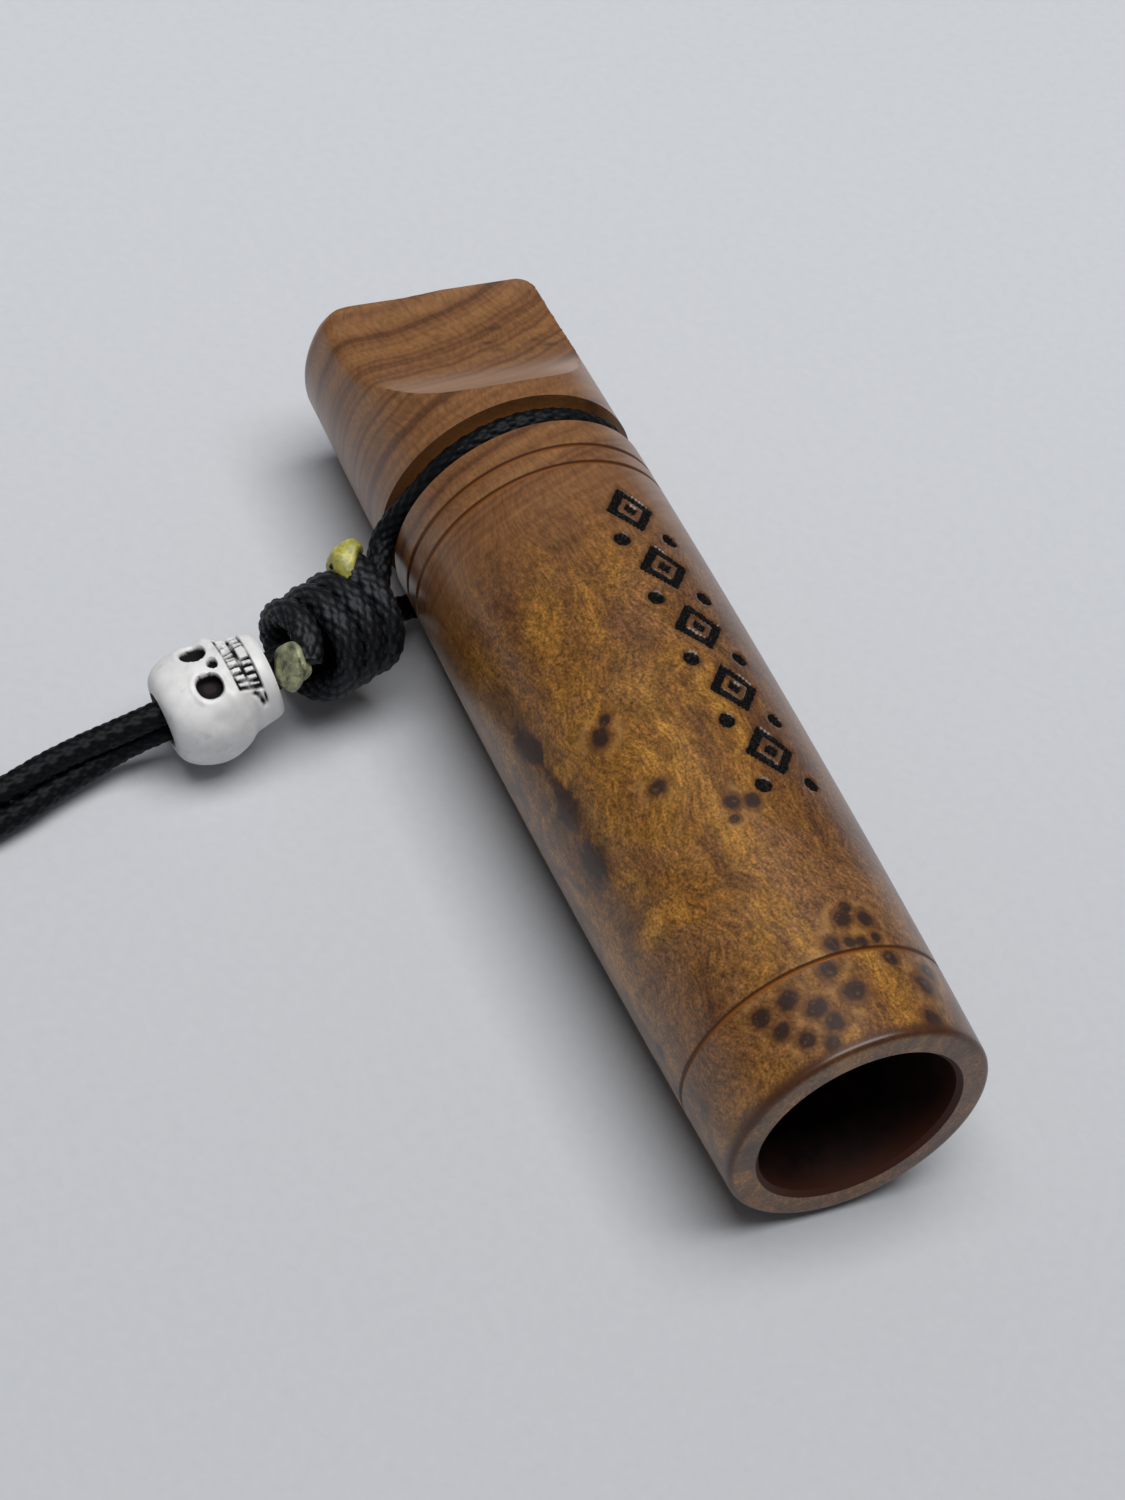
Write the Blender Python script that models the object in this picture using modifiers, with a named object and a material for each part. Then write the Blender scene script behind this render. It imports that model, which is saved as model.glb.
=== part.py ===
"""Turned wooden predator call with a closed reed insert, on a neck cord with a wrapped knot and a skull bead.

Metres, +Z up, +X along the call towards its bell end. The call lies on its side on the plane z = 0.
"""

import math

import bmesh
import bpy
import numpy as np
from mathutils import Matrix, Vector

for old in list(bpy.data.objects):
    bpy.data.objects.remove(old, do_unlink=True)

MM = 0.001

# Turned body, measured along the axis from the bell face
LENGTH = 98.0 * MM
BARREL_R = 12.7 * MM
BELL_R = 12.13 * MM
SWELL = 0.3 * MM
BELL_LINE_AT = 8.8 * MM
LINES_AT = (66.4 * MM, 68.7 * MM)
LINE_WIDTH = 0.55 * MM
LINE_DEPTH = 0.35 * MM
COVE_NEAR = 72.0 * MM
COVE_FAR = 75.5 * MM
COVE_DEPTH = 3.05 * MM
MOUTH_TAPER = 0.015
BELL_EDGE = 0.45 * MM
TIP_ROUND = 2.6 * MM
BORE_R = 8.95 * MM
BORE_DEPTH = 37.0 * MM
INSERT_BORE_R = 6.0 * MM
BORE_TAPER = 3.0 * MM
SHOULDER_AT = 69.0 * MM
SHOULDER_TAPER = 1.6 * MM
MOUTH_HOLE_R = 3.2 * MM
COVE_POWER = 0.8
TURN_STEPS = 64

# Lip scoops on the mouthpiece
SCOOP_AT = 77.7 * MM
SCOOP_RUN = 16.0 * MM
SCOOP_FLOOR = 5.6 * MM

# Reed insert
GAP = 0.3 * MM
HOUSING_LENGTH = 25.5 * MM
HOUSING_WALL = 1.8 * MM
RING_R = 0.55 * MM
RINGS_AT = (5.0 * MM, 19.0 * MM)
RING_SIDES = 10
RING_ROOM = 0.21 * MM
TROUGH_LENGTH = 21.0 * MM
TROUGH_SLOT = 2.6 * MM
REED_LENGTH = 18.0 * MM
REED_WIDTH = 4.6 * MM
REED_THICK = 0.25 * MM
REED_LIFT = 0.5 * MM
REED_EDGE = 0.06 * MM
WEDGE_LENGTH = 5.0 * MM
WEDGE_LIFT = 0.35 * MM
INSERT_SIDES = 32

# Cord, knot and bead
CORD_D = 2.5 * MM
CORD_GAP = 0.5 * MM
COIL_GAP = 0.8 * MM
KNOT_X = -17.33 * MM
KNOT_Y = -20.96 * MM
KNOT_Z = 8.35 * MM
KNOT_YAW = math.radians(113.6)
KNOT_TURNS = 3.125
KNOT_PITCH = CORD_D + 0.46 * MM
KNOT_FROM = math.radians(135.0)
KNOT_START = -6.9 * MM
KNOT_TAIL = 2.8 * MM
KNOT_LEAD = 0.30
KNOT_STEP = 1.1 * MM
NOOSE_CORE = (0.7 * MM, 3.2 * MM, 5.6 * MM)
NOOSE_SHIFT = 0.15 * MM
NOOSE_LEAD = (0.2 * MM, -13.25 * MM, 12.3 * MM)
NOOSE_TAIL = (0.5 * MM, -9.2 * MM, 2.65 * MM)
NOOSE_TURN = (28.0, 281.0)
NOOSE_STEP = 2.3 * MM
PAIR_CORE = (-0.7 * MM, -2.6 * MM, -4.4 * MM)
PAIR_STEP = 2.4 * MM
STUB_LENGTH = 3.8 * MM
STUB_STEPS = 6
STUB_BEND = 0.38
STUB_RISE = 0.06
BEAD_X = -14.46 * MM
BEAD_Y = -27.9 * MM
BEAD_Z = 8.25 * MM
BEAD_YAW = math.radians(-86.3)
BEAD_PITCH = math.radians(16.0)
BEAD_ROLL = math.radians(-5.0)
BEAD_LENGTH = 10.8 * MM
BEAD_HOLE_R = 3.0 * MM
BEAD_SLIDE = 2.8 * MM
BEAD_EXIT = 0.3 * MM
IN_BEAD = (0.7 * MM, 5.5 * MM, 10.4 * MM)
COIL_X = -35.4 * MM
COIL_Y = -80.0 * MM
COIL_R = 27.6 * MM
COIL_EYE_R = 10.0 * MM
LOOP_POINTS = 24
PROBE_STEP = 0.5 * MM
PROBE_SKIP = 8.0 * MM
MELT_WIDTH = 1.2
MELT_UPPER = 0.8 * MM
MELT_LOWER = 0.5 * MM
TIE_THICK = 0.5 * MM
TIE_WIDTH = 3.2 * MM
TIE_GAP = 0.15 * MM
# Places of the cord pair past the bead, with its roll in degrees
RUN_OUT = (
    (-13.0 * MM, -44.6 * MM, 3.65 * MM, 16.0),
    (-11.7 * MM, -48.8 * MM, 3.3 * MM, 30.0),
    (-9.9 * MM, -53.7 * MM, 2.8 * MM, 48.0),
    (-8.7 * MM, -59.0 * MM, 2.35 * MM, 66.0),
    (-8.7 * MM, -64.5 * MM, 2.1 * MM, 82.0),
    (-9.1 * MM, -70.0 * MM, 2.05 * MM, 90.0),
)

CORD_R = CORD_D / 2
TABLE_Z = CORD_R + TIE_THICK + 2 * TIE_GAP
COIL_PITCH = CORD_D + COIL_GAP
PAIR = (CORD_D + CORD_GAP) / 2
HELIX_R = PAIR + CORD_D + GAP


def collection(name):
    made = bpy.data.collections.new(name)
    bpy.context.scene.collection.children.link(made)
    return made


SMOOTH_ANGLE = math.radians(35.0)
CALL = collection("predator_call")
CUTTERS = collection("cutters")


def material(name, colour, rough, metallic=0.0):
    made = bpy.data.materials.new(name)
    made.diffuse_color = (*colour, 1.0)
    made.use_nodes = True
    shader = made.node_tree.nodes["Principled BSDF"]
    shader.inputs["Base Color"].default_value = (*colour, 1.0)
    shader.inputs["Roughness"].default_value = rough
    shader.inputs["Metallic"].default_value = metallic
    return made


WOOD = material("burl_wood", (0.46, 0.27, 0.11), 0.3)
BLACK_PLASTIC = material("insert_plastic", (0.03, 0.03, 0.03), 0.5)
TONE_PLASTIC = material("tone_plastic", (0.75, 0.74, 0.70), 0.4)
REED_METAL = material("reed_brass", (0.72, 0.55, 0.25), 0.3, 1.0)
RUBBER = material("seal_rubber", (0.02, 0.02, 0.02), 0.7)
WEDGE_RUBBER = material("wedge_rubber", (0.30, 0.20, 0.12), 0.8)
CORD = material("black_cord", (0.015, 0.015, 0.016), 0.8)
KNOT_CORD = material("knot_cord", (0.015, 0.015, 0.016), 0.8)
NOOSE_CORD = material("noose_cord", (0.015, 0.015, 0.016), 0.8)
TIE_BAND = material("tie_band", (0.03, 0.03, 0.032), 0.7)
MELT_YELLOW = material("melted_yellow", (0.60, 0.55, 0.16), 0.35)
MELT_OLIVE = material("melted_olive", (0.48, 0.47, 0.28), 0.4)
BONE = material("bead_white", (0.84, 0.84, 0.83), 0.35)


def add(name, data, mat, home=None):
    ob = bpy.data.objects.new(name, data)
    (home or CALL).objects.link(ob)
    if mat:
        data.materials.append(mat)
    return ob


def mesh_from(bm, name, smooth=True):
    data = bpy.data.meshes.new(name)
    bm.normal_update()
    bm.to_mesh(data)
    bm.free()
    if smooth:
        data.shade_smooth()
        data.set_sharp_from_angle(angle=SMOOTH_ANGLE)
    return data


def turned(name, profile, mat, steps=TURN_STEPS):
    """Closed profile of (axial, radius), bell side first on the outside, turned about the call's axis."""
    bm = bmesh.new()
    verts = [bm.verts.new((r, 0.0, x)) for x, r in profile]
    for a, b in zip(verts, verts[1:] + verts[:1]):
        bm.edges.new((a, b))
    ob = add(name, mesh_from(bm, name, smooth=False), mat)
    screw = ob.modifiers.new("turn", "SCREW")
    screw.axis = "Z"
    screw.angle = 2 * math.pi
    screw.steps = steps
    screw.render_steps = steps
    screw.use_smooth_shade = True
    screw.use_merge_vertices = True
    screw.merge_threshold = 0.000002
    ob.rotation_euler = (0.0, math.pi / 2, 0.0)
    ob.location = (0.0, 0.0, AXIS_Z)
    return ob


def cutter(ob):
    for home in list(ob.users_collection):
        home.objects.unlink(ob)
    CUTTERS.objects.link(ob)
    ob.hide_render = True
    ob.display_type = "WIRE"
    return ob


def cylinder(name, radius, depth, centre, axis, segments=48, mat=None):
    bm = bmesh.new()
    bmesh.ops.create_cone(bm, cap_ends=True, segments=segments, radius1=radius, radius2=radius, depth=depth)
    turn = Vector((0.0, 0.0, 1.0)).rotation_difference(Vector(axis)).to_matrix().to_4x4()
    bmesh.ops.transform(bm, matrix=Matrix.Translation(centre) @ turn, verts=bm.verts)
    return add(name, mesh_from(bm, name), mat)


def box(name, size, centre, mat=None):
    bm = bmesh.new()
    bmesh.ops.create_cube(bm, size=1.0)
    bmesh.ops.transform(bm, matrix=Matrix.Translation(centre) @ Matrix.Diagonal((*size, 1.0)), verts=bm.verts)
    return add(name, mesh_from(bm, name, smooth=False), mat)


def ellipsoid(name, radii, place, mat=None, rings=12, segments=20):
    bm = bmesh.new()
    bmesh.ops.create_uvsphere(bm, u_segments=segments, v_segments=rings, radius=1.0)
    bmesh.ops.transform(bm, matrix=place @ Matrix.Diagonal((*radii, 1.0)), verts=bm.verts)
    return add(name, mesh_from(bm, name), mat)


def cut(ob, tool, operation="DIFFERENCE"):
    step = ob.modifiers.new("cut_" + tool.name, "BOOLEAN")
    step.operation = operation
    step.solver = "EXACT"
    step.object = tool


def barrel_radius(at):
    """Outside radius at a distance from the bell face."""
    span = LINES_AT[0] - BELL_LINE_AT
    s = (LINES_AT[0] - at) / span
    if at <= COVE_NEAR:
        return BARREL_R + (BELL_R - BARREL_R) * s + SWELL * 4 * s * (1 - s)
    lip = barrel_radius(COVE_NEAR)
    return lip - MOUTH_TAPER * max(0.0, at - COVE_FAR)


AXIS_Z = max(barrel_radius(at) for at in np.linspace(BELL_LINE_AT, LINES_AT[0], 13)[1:-1])


def line_points(at):
    r = barrel_radius(at)
    return [(at - LINE_WIDTH / 2, r), (at, r - LINE_DEPTH), (at + LINE_WIDTH / 2, r)]


def body_profile():
    points = [(0.0, BORE_R + GAP)]
    edge_r = barrel_radius(BELL_EDGE)
    for k in range(5):
        a = math.pi / 2 * k / 4
        points.append((BELL_EDGE * (1 - math.sin(a)), edge_r - BELL_EDGE * (1 - math.cos(a))))
    points[1:] = points[:0:-1]
    points += [(BELL_LINE_AT / 2, barrel_radius(BELL_LINE_AT / 2))]
    points += line_points(BELL_LINE_AT)
    points += [(at, barrel_radius(at)) for at in np.linspace(BELL_LINE_AT, LINES_AT[0], 13)[1:-1]]
    for at in LINES_AT:
        points += line_points(at)
    lip = barrel_radius(COVE_NEAR)
    half = (COVE_FAR - COVE_NEAR) / 2
    for k in range(13):
        a = math.pi * k / 12
        c = math.copysign(abs(math.cos(a)) ** COVE_POWER, math.cos(a))
        points.append((COVE_NEAR + half - half * c, lip - COVE_DEPTH * math.sin(a) ** COVE_POWER))
    points += [(at, barrel_radius(at)) for at in np.linspace(COVE_FAR, LENGTH - TIP_ROUND, 6)[1:]]
    end_r = barrel_radius(LENGTH - TIP_ROUND)
    for k in range(1, 7):
        a = math.pi / 2 * k / 6
        points.append((LENGTH - TIP_ROUND * (1 - math.sin(a)), end_r - TIP_ROUND * (1 - math.cos(a))))
    points.append((LENGTH, MOUTH_HOLE_R + GAP))
    points.append((LENGTH - GAP, MOUTH_HOLE_R))
    points.append((SHOULDER_AT + SHOULDER_TAPER, MOUTH_HOLE_R))
    points.append((SHOULDER_AT, INSERT_BORE_R))
    points.append((BORE_DEPTH + BORE_TAPER, INSERT_BORE_R))
    points.append((BORE_DEPTH, BORE_R))
    points.append((GAP, BORE_R))
    return [(LENGTH / 2 - at, r) for at, r in points]


def call_body():
    body = turned("call_body", body_profile(), WOOD)
    drop = barrel_radius(SCOOP_AT) - SCOOP_FLOOR
    radius = (SCOOP_RUN**2 + drop**2) / (2 * drop)
    x = LENGTH / 2 - SCOOP_AT - SCOOP_RUN
    for side, name in ((1, "scoop_top"), (-1, "scoop_under")):
        centre = (x, 0.0, AXIS_Z + side * (SCOOP_FLOOR + radius))
        cut(body, cutter(cylinder(name, radius, 4 * BARREL_R, centre, (0, 1, 0), 144)))


HOUSING_END = LENGTH / 2 - SHOULDER_AT + GAP
HOUSING_R = INSERT_BORE_R - 2 * GAP
TUBE_R = HOUSING_R - HOUSING_WALL
SEAL_R = INSERT_BORE_R - GAP - RING_R


def reed_housing():
    seat = SEAL_R - RING_R - RING_ROOM
    x0 = HOUSING_END
    x1 = x0 + HOUSING_LENGTH
    points = [(x1, TUBE_R), (x1, HOUSING_R - GAP), (x1 - GAP, HOUSING_R)]
    for at in reversed(RINGS_AT):
        for side, r in ((1, HOUSING_R), (1, seat), (-1, seat), (-1, HOUSING_R)):
            points.append((x0 + at + side * (RING_R + RING_ROOM), r))
    points += [(x0 + GAP, HOUSING_R), (x0, HOUSING_R - GAP), (x0, TUBE_R)]
    turned("reed_housing", points, BLACK_PLASTIC, INSERT_SIDES)


def seal_rings():
    for at, name in zip(RINGS_AT, ("seal_ring_front", "seal_ring_rear")):
        points = []
        for k in range(RING_SIDES):
            a = math.pi / 2 - 2 * math.pi * k / RING_SIDES
            points.append((HOUSING_END + at + RING_R * math.cos(a), SEAL_R + RING_R * math.sin(a)))
        turned(name, points[::-1], RUBBER, INSERT_SIDES)


TROUGH_R = TUBE_R - GAP
TROUGH_X = HOUSING_END + HOUSING_LENGTH - GAP - TROUGH_LENGTH / 2
REED_Z = AXIS_Z + REED_LIFT
WEDGE_X = HOUSING_END + HOUSING_LENGTH - GAP - WEDGE_LENGTH / 2


def tone_trough():
    centre = (TROUGH_X, 0, AXIS_Z)
    board = cylinder("tone_trough", TROUGH_R, TROUGH_LENGTH, centre, (1, 0, 0), INSERT_SIDES, TONE_PLASTIC)
    top = (TROUGH_X, 0, AXIS_Z + TROUGH_R)
    cut(board, cutter(box("trough_half", (TROUGH_LENGTH * 2, TROUGH_R * 3, TROUGH_R * 2), top)))
    slot_length = TROUGH_LENGTH - WEDGE_LENGTH
    slot = (TROUGH_X - WEDGE_LENGTH, 0, AXIS_Z)
    cut(board, cutter(box("trough_slot", (slot_length + WEDGE_LENGTH, TROUGH_SLOT, TROUGH_R), slot)))


def reed():
    """Strip whose origin is on the line it flexes about, under the middle of the wedge."""
    x = HOUSING_END + HOUSING_LENGTH - 2 * GAP - REED_LENGTH / 2
    strip = box("reed", (REED_LENGTH, REED_WIDTH, REED_THICK), (x - WEDGE_X, 0, 0), REED_METAL)
    strip.location = (WEDGE_X, 0, REED_Z + REED_THICK / 2)
    ease = strip.modifiers.new("ease", "BEVEL")
    ease.width = REED_EDGE
    ease.segments = 1


def reed_wedge():
    low = REED_Z + REED_THICK + WEDGE_LIFT
    centre = (WEDGE_X, 0, AXIS_Z)
    wedge = cylinder("reed_wedge", TROUGH_R, WEDGE_LENGTH, centre, (1, 0, 0), INSERT_SIDES, WEDGE_RUBBER)
    under = (WEDGE_X, 0, low - TROUGH_R * 1.5)
    cut(wedge, cutter(box("wedge_flat", (WEDGE_LENGTH * 2, TROUGH_R * 3, TROUGH_R * 3), under)))


def smooth_path(points, step):
    """Centripetal Catmull-Rom curve through the points, resampled at an even step."""
    p = np.array(points, float)
    p = np.vstack([2 * p[0] - p[1], p, 2 * p[-1] - p[-2]])
    out = []
    for a, b, c, d in zip(p, p[1:], p[2:], p[3:]):
        t0 = 0.0
        t1 = t0 + np.linalg.norm(b - a) ** 0.5
        t2 = t1 + np.linalg.norm(c - b) ** 0.5
        t3 = t2 + np.linalg.norm(d - c) ** 0.5
        for t in np.linspace(t1, t2, 24, endpoint=False):
            a1 = (t1 - t) / (t1 - t0) * a + (t - t0) / (t1 - t0) * b
            a2 = (t2 - t) / (t2 - t1) * b + (t - t1) / (t2 - t1) * c
            a3 = (t3 - t) / (t3 - t2) * c + (t - t2) / (t3 - t2) * d
            b1 = (t2 - t) / (t2 - t0) * a1 + (t - t0) / (t2 - t0) * a2
            b2 = (t3 - t) / (t3 - t1) * a2 + (t - t1) / (t3 - t1) * a3
            out.append((t2 - t) / (t2 - t1) * b1 + (t - t1) / (t2 - t1) * b2)
    out.append(p[-2])
    return resample(np.array(out), step)


def resample(path, step):
    run = np.concatenate([[0.0], np.cumsum(np.linalg.norm(np.diff(path, axis=0), axis=1))])
    count = max(2, int(round(run[-1] / step)) + 1)
    at = np.linspace(0.0, run[-1], count)
    return np.stack([np.interp(at, run, path[:, k]) for k in range(path.shape[1])], 1)


def path_length(path):
    return float(np.linalg.norm(np.diff(path, axis=0), axis=1).sum())


def least_gap(path, other=None):
    """Least clear distance of a tube to itself, or to another tube, measured on finely spaced points."""
    a = resample(np.array(path), PROBE_STEP)
    b = a if other is None else resample(np.array(other), PROBE_STEP)
    best = 1.0
    for i in range(0, len(a), 400):
        d = np.linalg.norm(a[i : i + 400, None] - b[None], axis=2)
        if other is None:
            apart = np.abs(np.arange(i, i + len(d))[:, None] - np.arange(len(b))[None])
            d[apart * PROBE_STEP < PROBE_SKIP] = 1.0
        best = min(best, float(d.min()))
    return best - CORD_D


def least_bend(path):
    """Least radius of the circle through three neighbouring points."""
    p = np.array(path)
    a = np.linalg.norm(p[1:-1] - p[:-2], axis=1)
    b = np.linalg.norm(p[2:] - p[1:-1], axis=1)
    c = np.linalg.norm(p[2:] - p[:-2], axis=1)
    area = np.linalg.norm(np.cross(p[1:-1] - p[:-2], p[2:] - p[:-2]), axis=1) / 2
    return float((a * b * c / np.maximum(4 * area, 1e-15)).min())


def tube(name, path, mat):
    data = bpy.data.curves.new(name, "CURVE")
    data.dimensions = "3D"
    data.bevel_depth = CORD_R
    data.bevel_resolution = 1
    data.use_fill_caps = True
    spline = data.splines.new("POLY")
    spline.points.add(len(path) - 1)
    for point, place in zip(spline.points, path):
        point.co = (*place, 1.0)
    return add(name, data, mat)


KNOT_AXIS = np.array([math.cos(KNOT_YAW), math.sin(KNOT_YAW), 0.0])
KNOT_SIDE = np.array([-math.sin(KNOT_YAW), math.cos(KNOT_YAW), 0.0])
BEAD_TURN = (
    Matrix.Rotation(BEAD_YAW - math.pi / 2, 4, "Z")
    @ Matrix.Rotation(-BEAD_PITCH, 4, "X")
    @ Matrix.Rotation(BEAD_ROLL, 4, "Y")
)
BEAD_AXIS = np.array(BEAD_TURN.to_3x3() @ Vector((0.0, 1.0, 0.0)))
UP = np.array([0.0, 0.0, 1.0])
KNOT = np.array([KNOT_X, KNOT_Y, KNOT_Z])
JAW = np.array([BEAD_X, BEAD_Y, BEAD_Z])
COVE_X = LENGTH / 2 - (COVE_NEAR + COVE_FAR) / 2 + NOOSE_SHIFT
NOOSE_R = barrel_radius(COVE_NEAR) - COVE_DEPTH + GAP + CORD_R


def on_knot(along, side=0.0, up=0.0):
    return KNOT + KNOT_AXIS * along + KNOT_SIDE * side + UP * up


def noose_path():
    """From the knot's core over the top of the cove, round the far side and back underneath into the core."""
    top = [on_knot(along, 0, PAIR) for along in NOOSE_CORE]
    low = [on_knot(along, 0, -PAIR) for along in NOOSE_CORE]
    ring = []
    for degrees in np.linspace(*NOOSE_TURN, 23):
        a = math.radians(degrees)
        ring.append(np.array([COVE_X, -NOOSE_R * math.cos(a), AXIS_Z + NOOSE_R * math.sin(a)]))
    cove = np.array([COVE_X, 0.0, 0.0])
    lead = [cove + np.array(NOOSE_LEAD)]
    tail = [cove + np.array(NOOSE_TAIL)]
    return smooth_path(top + lead + ring + tail + low[::-1], NOOSE_STEP)


def knot_path():
    """From the cut end on the bead side, round the wraps and off over the top as a short stub."""
    path = []
    for t in np.linspace(0.0, 1.0, 110):
        turns = KNOT_TURNS * t
        a = KNOT_FROM - 2 * math.pi * turns
        along = KNOT_START + KNOT_TAIL * (1 - math.exp(-turns / KNOT_LEAD)) + KNOT_PITCH * turns
        path.append(on_knot(along, HELIX_R * math.cos(a), HELIX_R * math.sin(a)))
    way = path[-1] - path[-2]
    way = way / np.linalg.norm(way)
    for k in range(1, STUB_STEPS + 1):
        bent = way + KNOT_AXIS * STUB_BEND * min(1.0, k / 3) + UP * STUB_RISE
        path.append(path[-1] + bent / np.linalg.norm(bent) * STUB_LENGTH / STUB_STEPS)
    return resample(np.array(path), KNOT_STEP)


def coil_path(outer, inner, count):
    """Clockwise turn in, from the entry on the coil's +X side, one strand of a pair."""
    turns = (outer - inner) / (2 * COIL_PITCH)
    a = np.linspace(0.0, 2 * math.pi * turns, max(8, int(turns * count)))
    r = outer - 2 * COIL_PITCH * a / (2 * math.pi)
    return np.stack([COIL_X + r * np.cos(-a), COIL_Y + r * np.sin(-a), np.full_like(a, TABLE_Z)], 1)


def pair_path():
    """Middle of the two strands from the knot's core to the coil, with the roll of the pair about it."""
    points = [(*on_knot(along), 0.0) for along in PAIR_CORE]
    for along in (*IN_BEAD, BEAD_LENGTH + BEAD_SLIDE + BEAD_EXIT):
        points.append((*(JAW + BEAD_AXIS * along), 0.0))
    entry = COIL_X + COIL_R - COIL_PITCH / 2
    for x, y, z, roll in RUN_OUT:
        points.append((x, y, z, math.radians(roll) * MM))
    points.append((entry, COIL_Y, TABLE_Z, math.pi / 2 * MM))
    return smooth_path(points, PAIR_STEP)


def strands():
    """Upper strand, which lies on the coil side at the table, and lower strand."""
    middle = pair_path()
    way = np.gradient(middle[:, :3], axis=0)
    way = way / np.linalg.norm(way, axis=1)[:, None]
    side = np.cross(way, UP)
    side = side / np.linalg.norm(side, axis=1)[:, None]
    over = np.cross(side, way)
    roll = middle[:, 3] / MM
    spread = np.interp(roll, [0.0, math.pi / 2], [PAIR, COIL_PITCH / 2])[:, None]
    offset = (over * np.cos(roll)[:, None] + side * np.sin(roll)[:, None]) * spread
    upper = middle[:, :3] + offset
    lower = middle[:, :3] - offset
    for path in (upper, lower):
        path[:, 2] = np.maximum(path[:, 2], TABLE_Z)
    return upper, lower


def lanyard_path():
    upper, lower = strands()
    arm_a = coil_path(COIL_R - COIL_PITCH, COIL_EYE_R, LOOP_POINTS)
    arm_b = coil_path(COIL_R, COIL_EYE_R, LOOP_POINTS)
    middle = np.array([COIL_X, COIL_Y, arm_a[-1][2]])
    spoke = (arm_a[-1] - middle) / 2
    cross = np.array([spoke[1], -spoke[0], 0.0])
    eye = []
    for a in np.linspace(0.0, math.pi, 9)[1:]:
        eye.append(middle + spoke + spoke * math.cos(a) + cross * math.sin(a))
    for a in np.linspace(0.0, math.pi, 9)[1:-1]:
        eye.append(middle - spoke + spoke * math.cos(a) - cross * math.sin(a))
    return np.vstack([upper[:-1], arm_a, eye, arm_b[::-1], lower[-2::-1]])


def cords():
    noose = noose_path()
    knot = knot_path()
    lanyard = lanyard_path()
    tube("noose", noose, NOOSE_CORD)
    tube("knot_wrap", knot, KNOT_CORD)
    tube("lanyard_cord", lanyard, CORD)
    for name, path in (("noose", noose), ("knot_wrap", knot), ("lanyard_cord", lanyard)):
        print(name, "length mm", round(path_length(path) / MM, 1), "points", len(path), "least bend mm",
              round(least_bend(path) / MM, 2), "least gap to itself mm", round(least_gap(path) / MM, 2),
              "lowest mm", round((path[:, 2].min() - CORD_R) / MM, 2))
    print("noose to knot mm", round(least_gap(noose, knot) / MM, 2), "lanyard to knot mm",
          round(least_gap(lanyard, knot) / MM, 2))
    for name, mat, at, way, size in (
        ("melted_end_upper", MELT_YELLOW, knot[-1], knot[-1] - knot[-2], MELT_UPPER),
        ("melted_end_lower", MELT_OLIVE, knot[0], knot[0] - knot[1], MELT_LOWER),
    ):
        way = Vector(way).normalized()
        turn = Vector((0, 0, 1)).rotation_difference(way).to_matrix().to_4x4()
        centre = Vector(at) + way * (GAP + size)
        radii = (CORD_R * MELT_WIDTH, CORD_R * MELT_WIDTH, size)
        ellipsoid(name, radii, Matrix.Translation(centre) @ turn, mat)


def coil_tie():
    """Flat band round all the turns on the coil's -X side."""
    half_way = COIL_R - COIL_PITCH
    low = half_way - COIL_PITCH * math.floor((half_way - COIL_EYE_R) / COIL_PITCH) - CORD_R - 2 * GAP
    high = half_way + CORD_R + 2 * GAP
    room = CORD_D + 2 * TIE_GAP
    x = COIL_X - (low + high) / 2
    z = TABLE_Z
    size = (high - low + 2 * TIE_THICK, TIE_WIDTH, room + 2 * TIE_THICK)
    band = box("coil_tie", size, (x, COIL_Y, z), TIE_BAND)
    cut(band, cutter(box("tie_inside", (high - low, TIE_WIDTH * 2, room), (x, COIL_Y, z))))


# Skull bead in millimetres: distance from the crown, half width, depth to the face and to the back
SKULL = (
    (0.0, 3.25, 3.25, 3.25),
    (0.3, 3.75, 3.7, 3.8),
    (0.8, 4.25, 4.15, 4.35),
    (1.6, 4.75, 4.5, 4.9),
    (2.7, 5.1, 4.75, 5.4),
    (3.9, 5.3, 4.75, 5.65),
    (5.1, 5.25, 4.6, 5.6),
    (6.2, 5.0, 4.55, 5.2),
    (7.1, 4.7, 4.55, 4.7),
    (8.0, 4.25, 4.5, 4.3),
    (9.1, 3.95, 4.4, 4.05),
    (10.3, 3.75, 4.15, 3.8),
    (10.8, 3.45, 3.8, 3.5),
)
SKULL_ROUND = 2.3
SKULL_SIDES = 32

# Recesses of the skull's face: place across it, from the crown and up from the hole's axis, and half sizes
EYE_AT = (2.1 * MM, 4.9 * MM, 4.7 * MM)
EYE_HALF = (1.25 * MM, 1.35 * MM, 1.2 * MM)
NOSE_AT = (6.2 * MM, 4.75 * MM)
NOSE_HALF = (0.62 * MM, 0.8 * MM, 0.8 * MM)
MOUTH_AT = (8.5 * MM, 4.55 * MM)
MOUTH_SIZE = (5.0 * MM, 2.3 * MM, 1.0 * MM)


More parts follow.
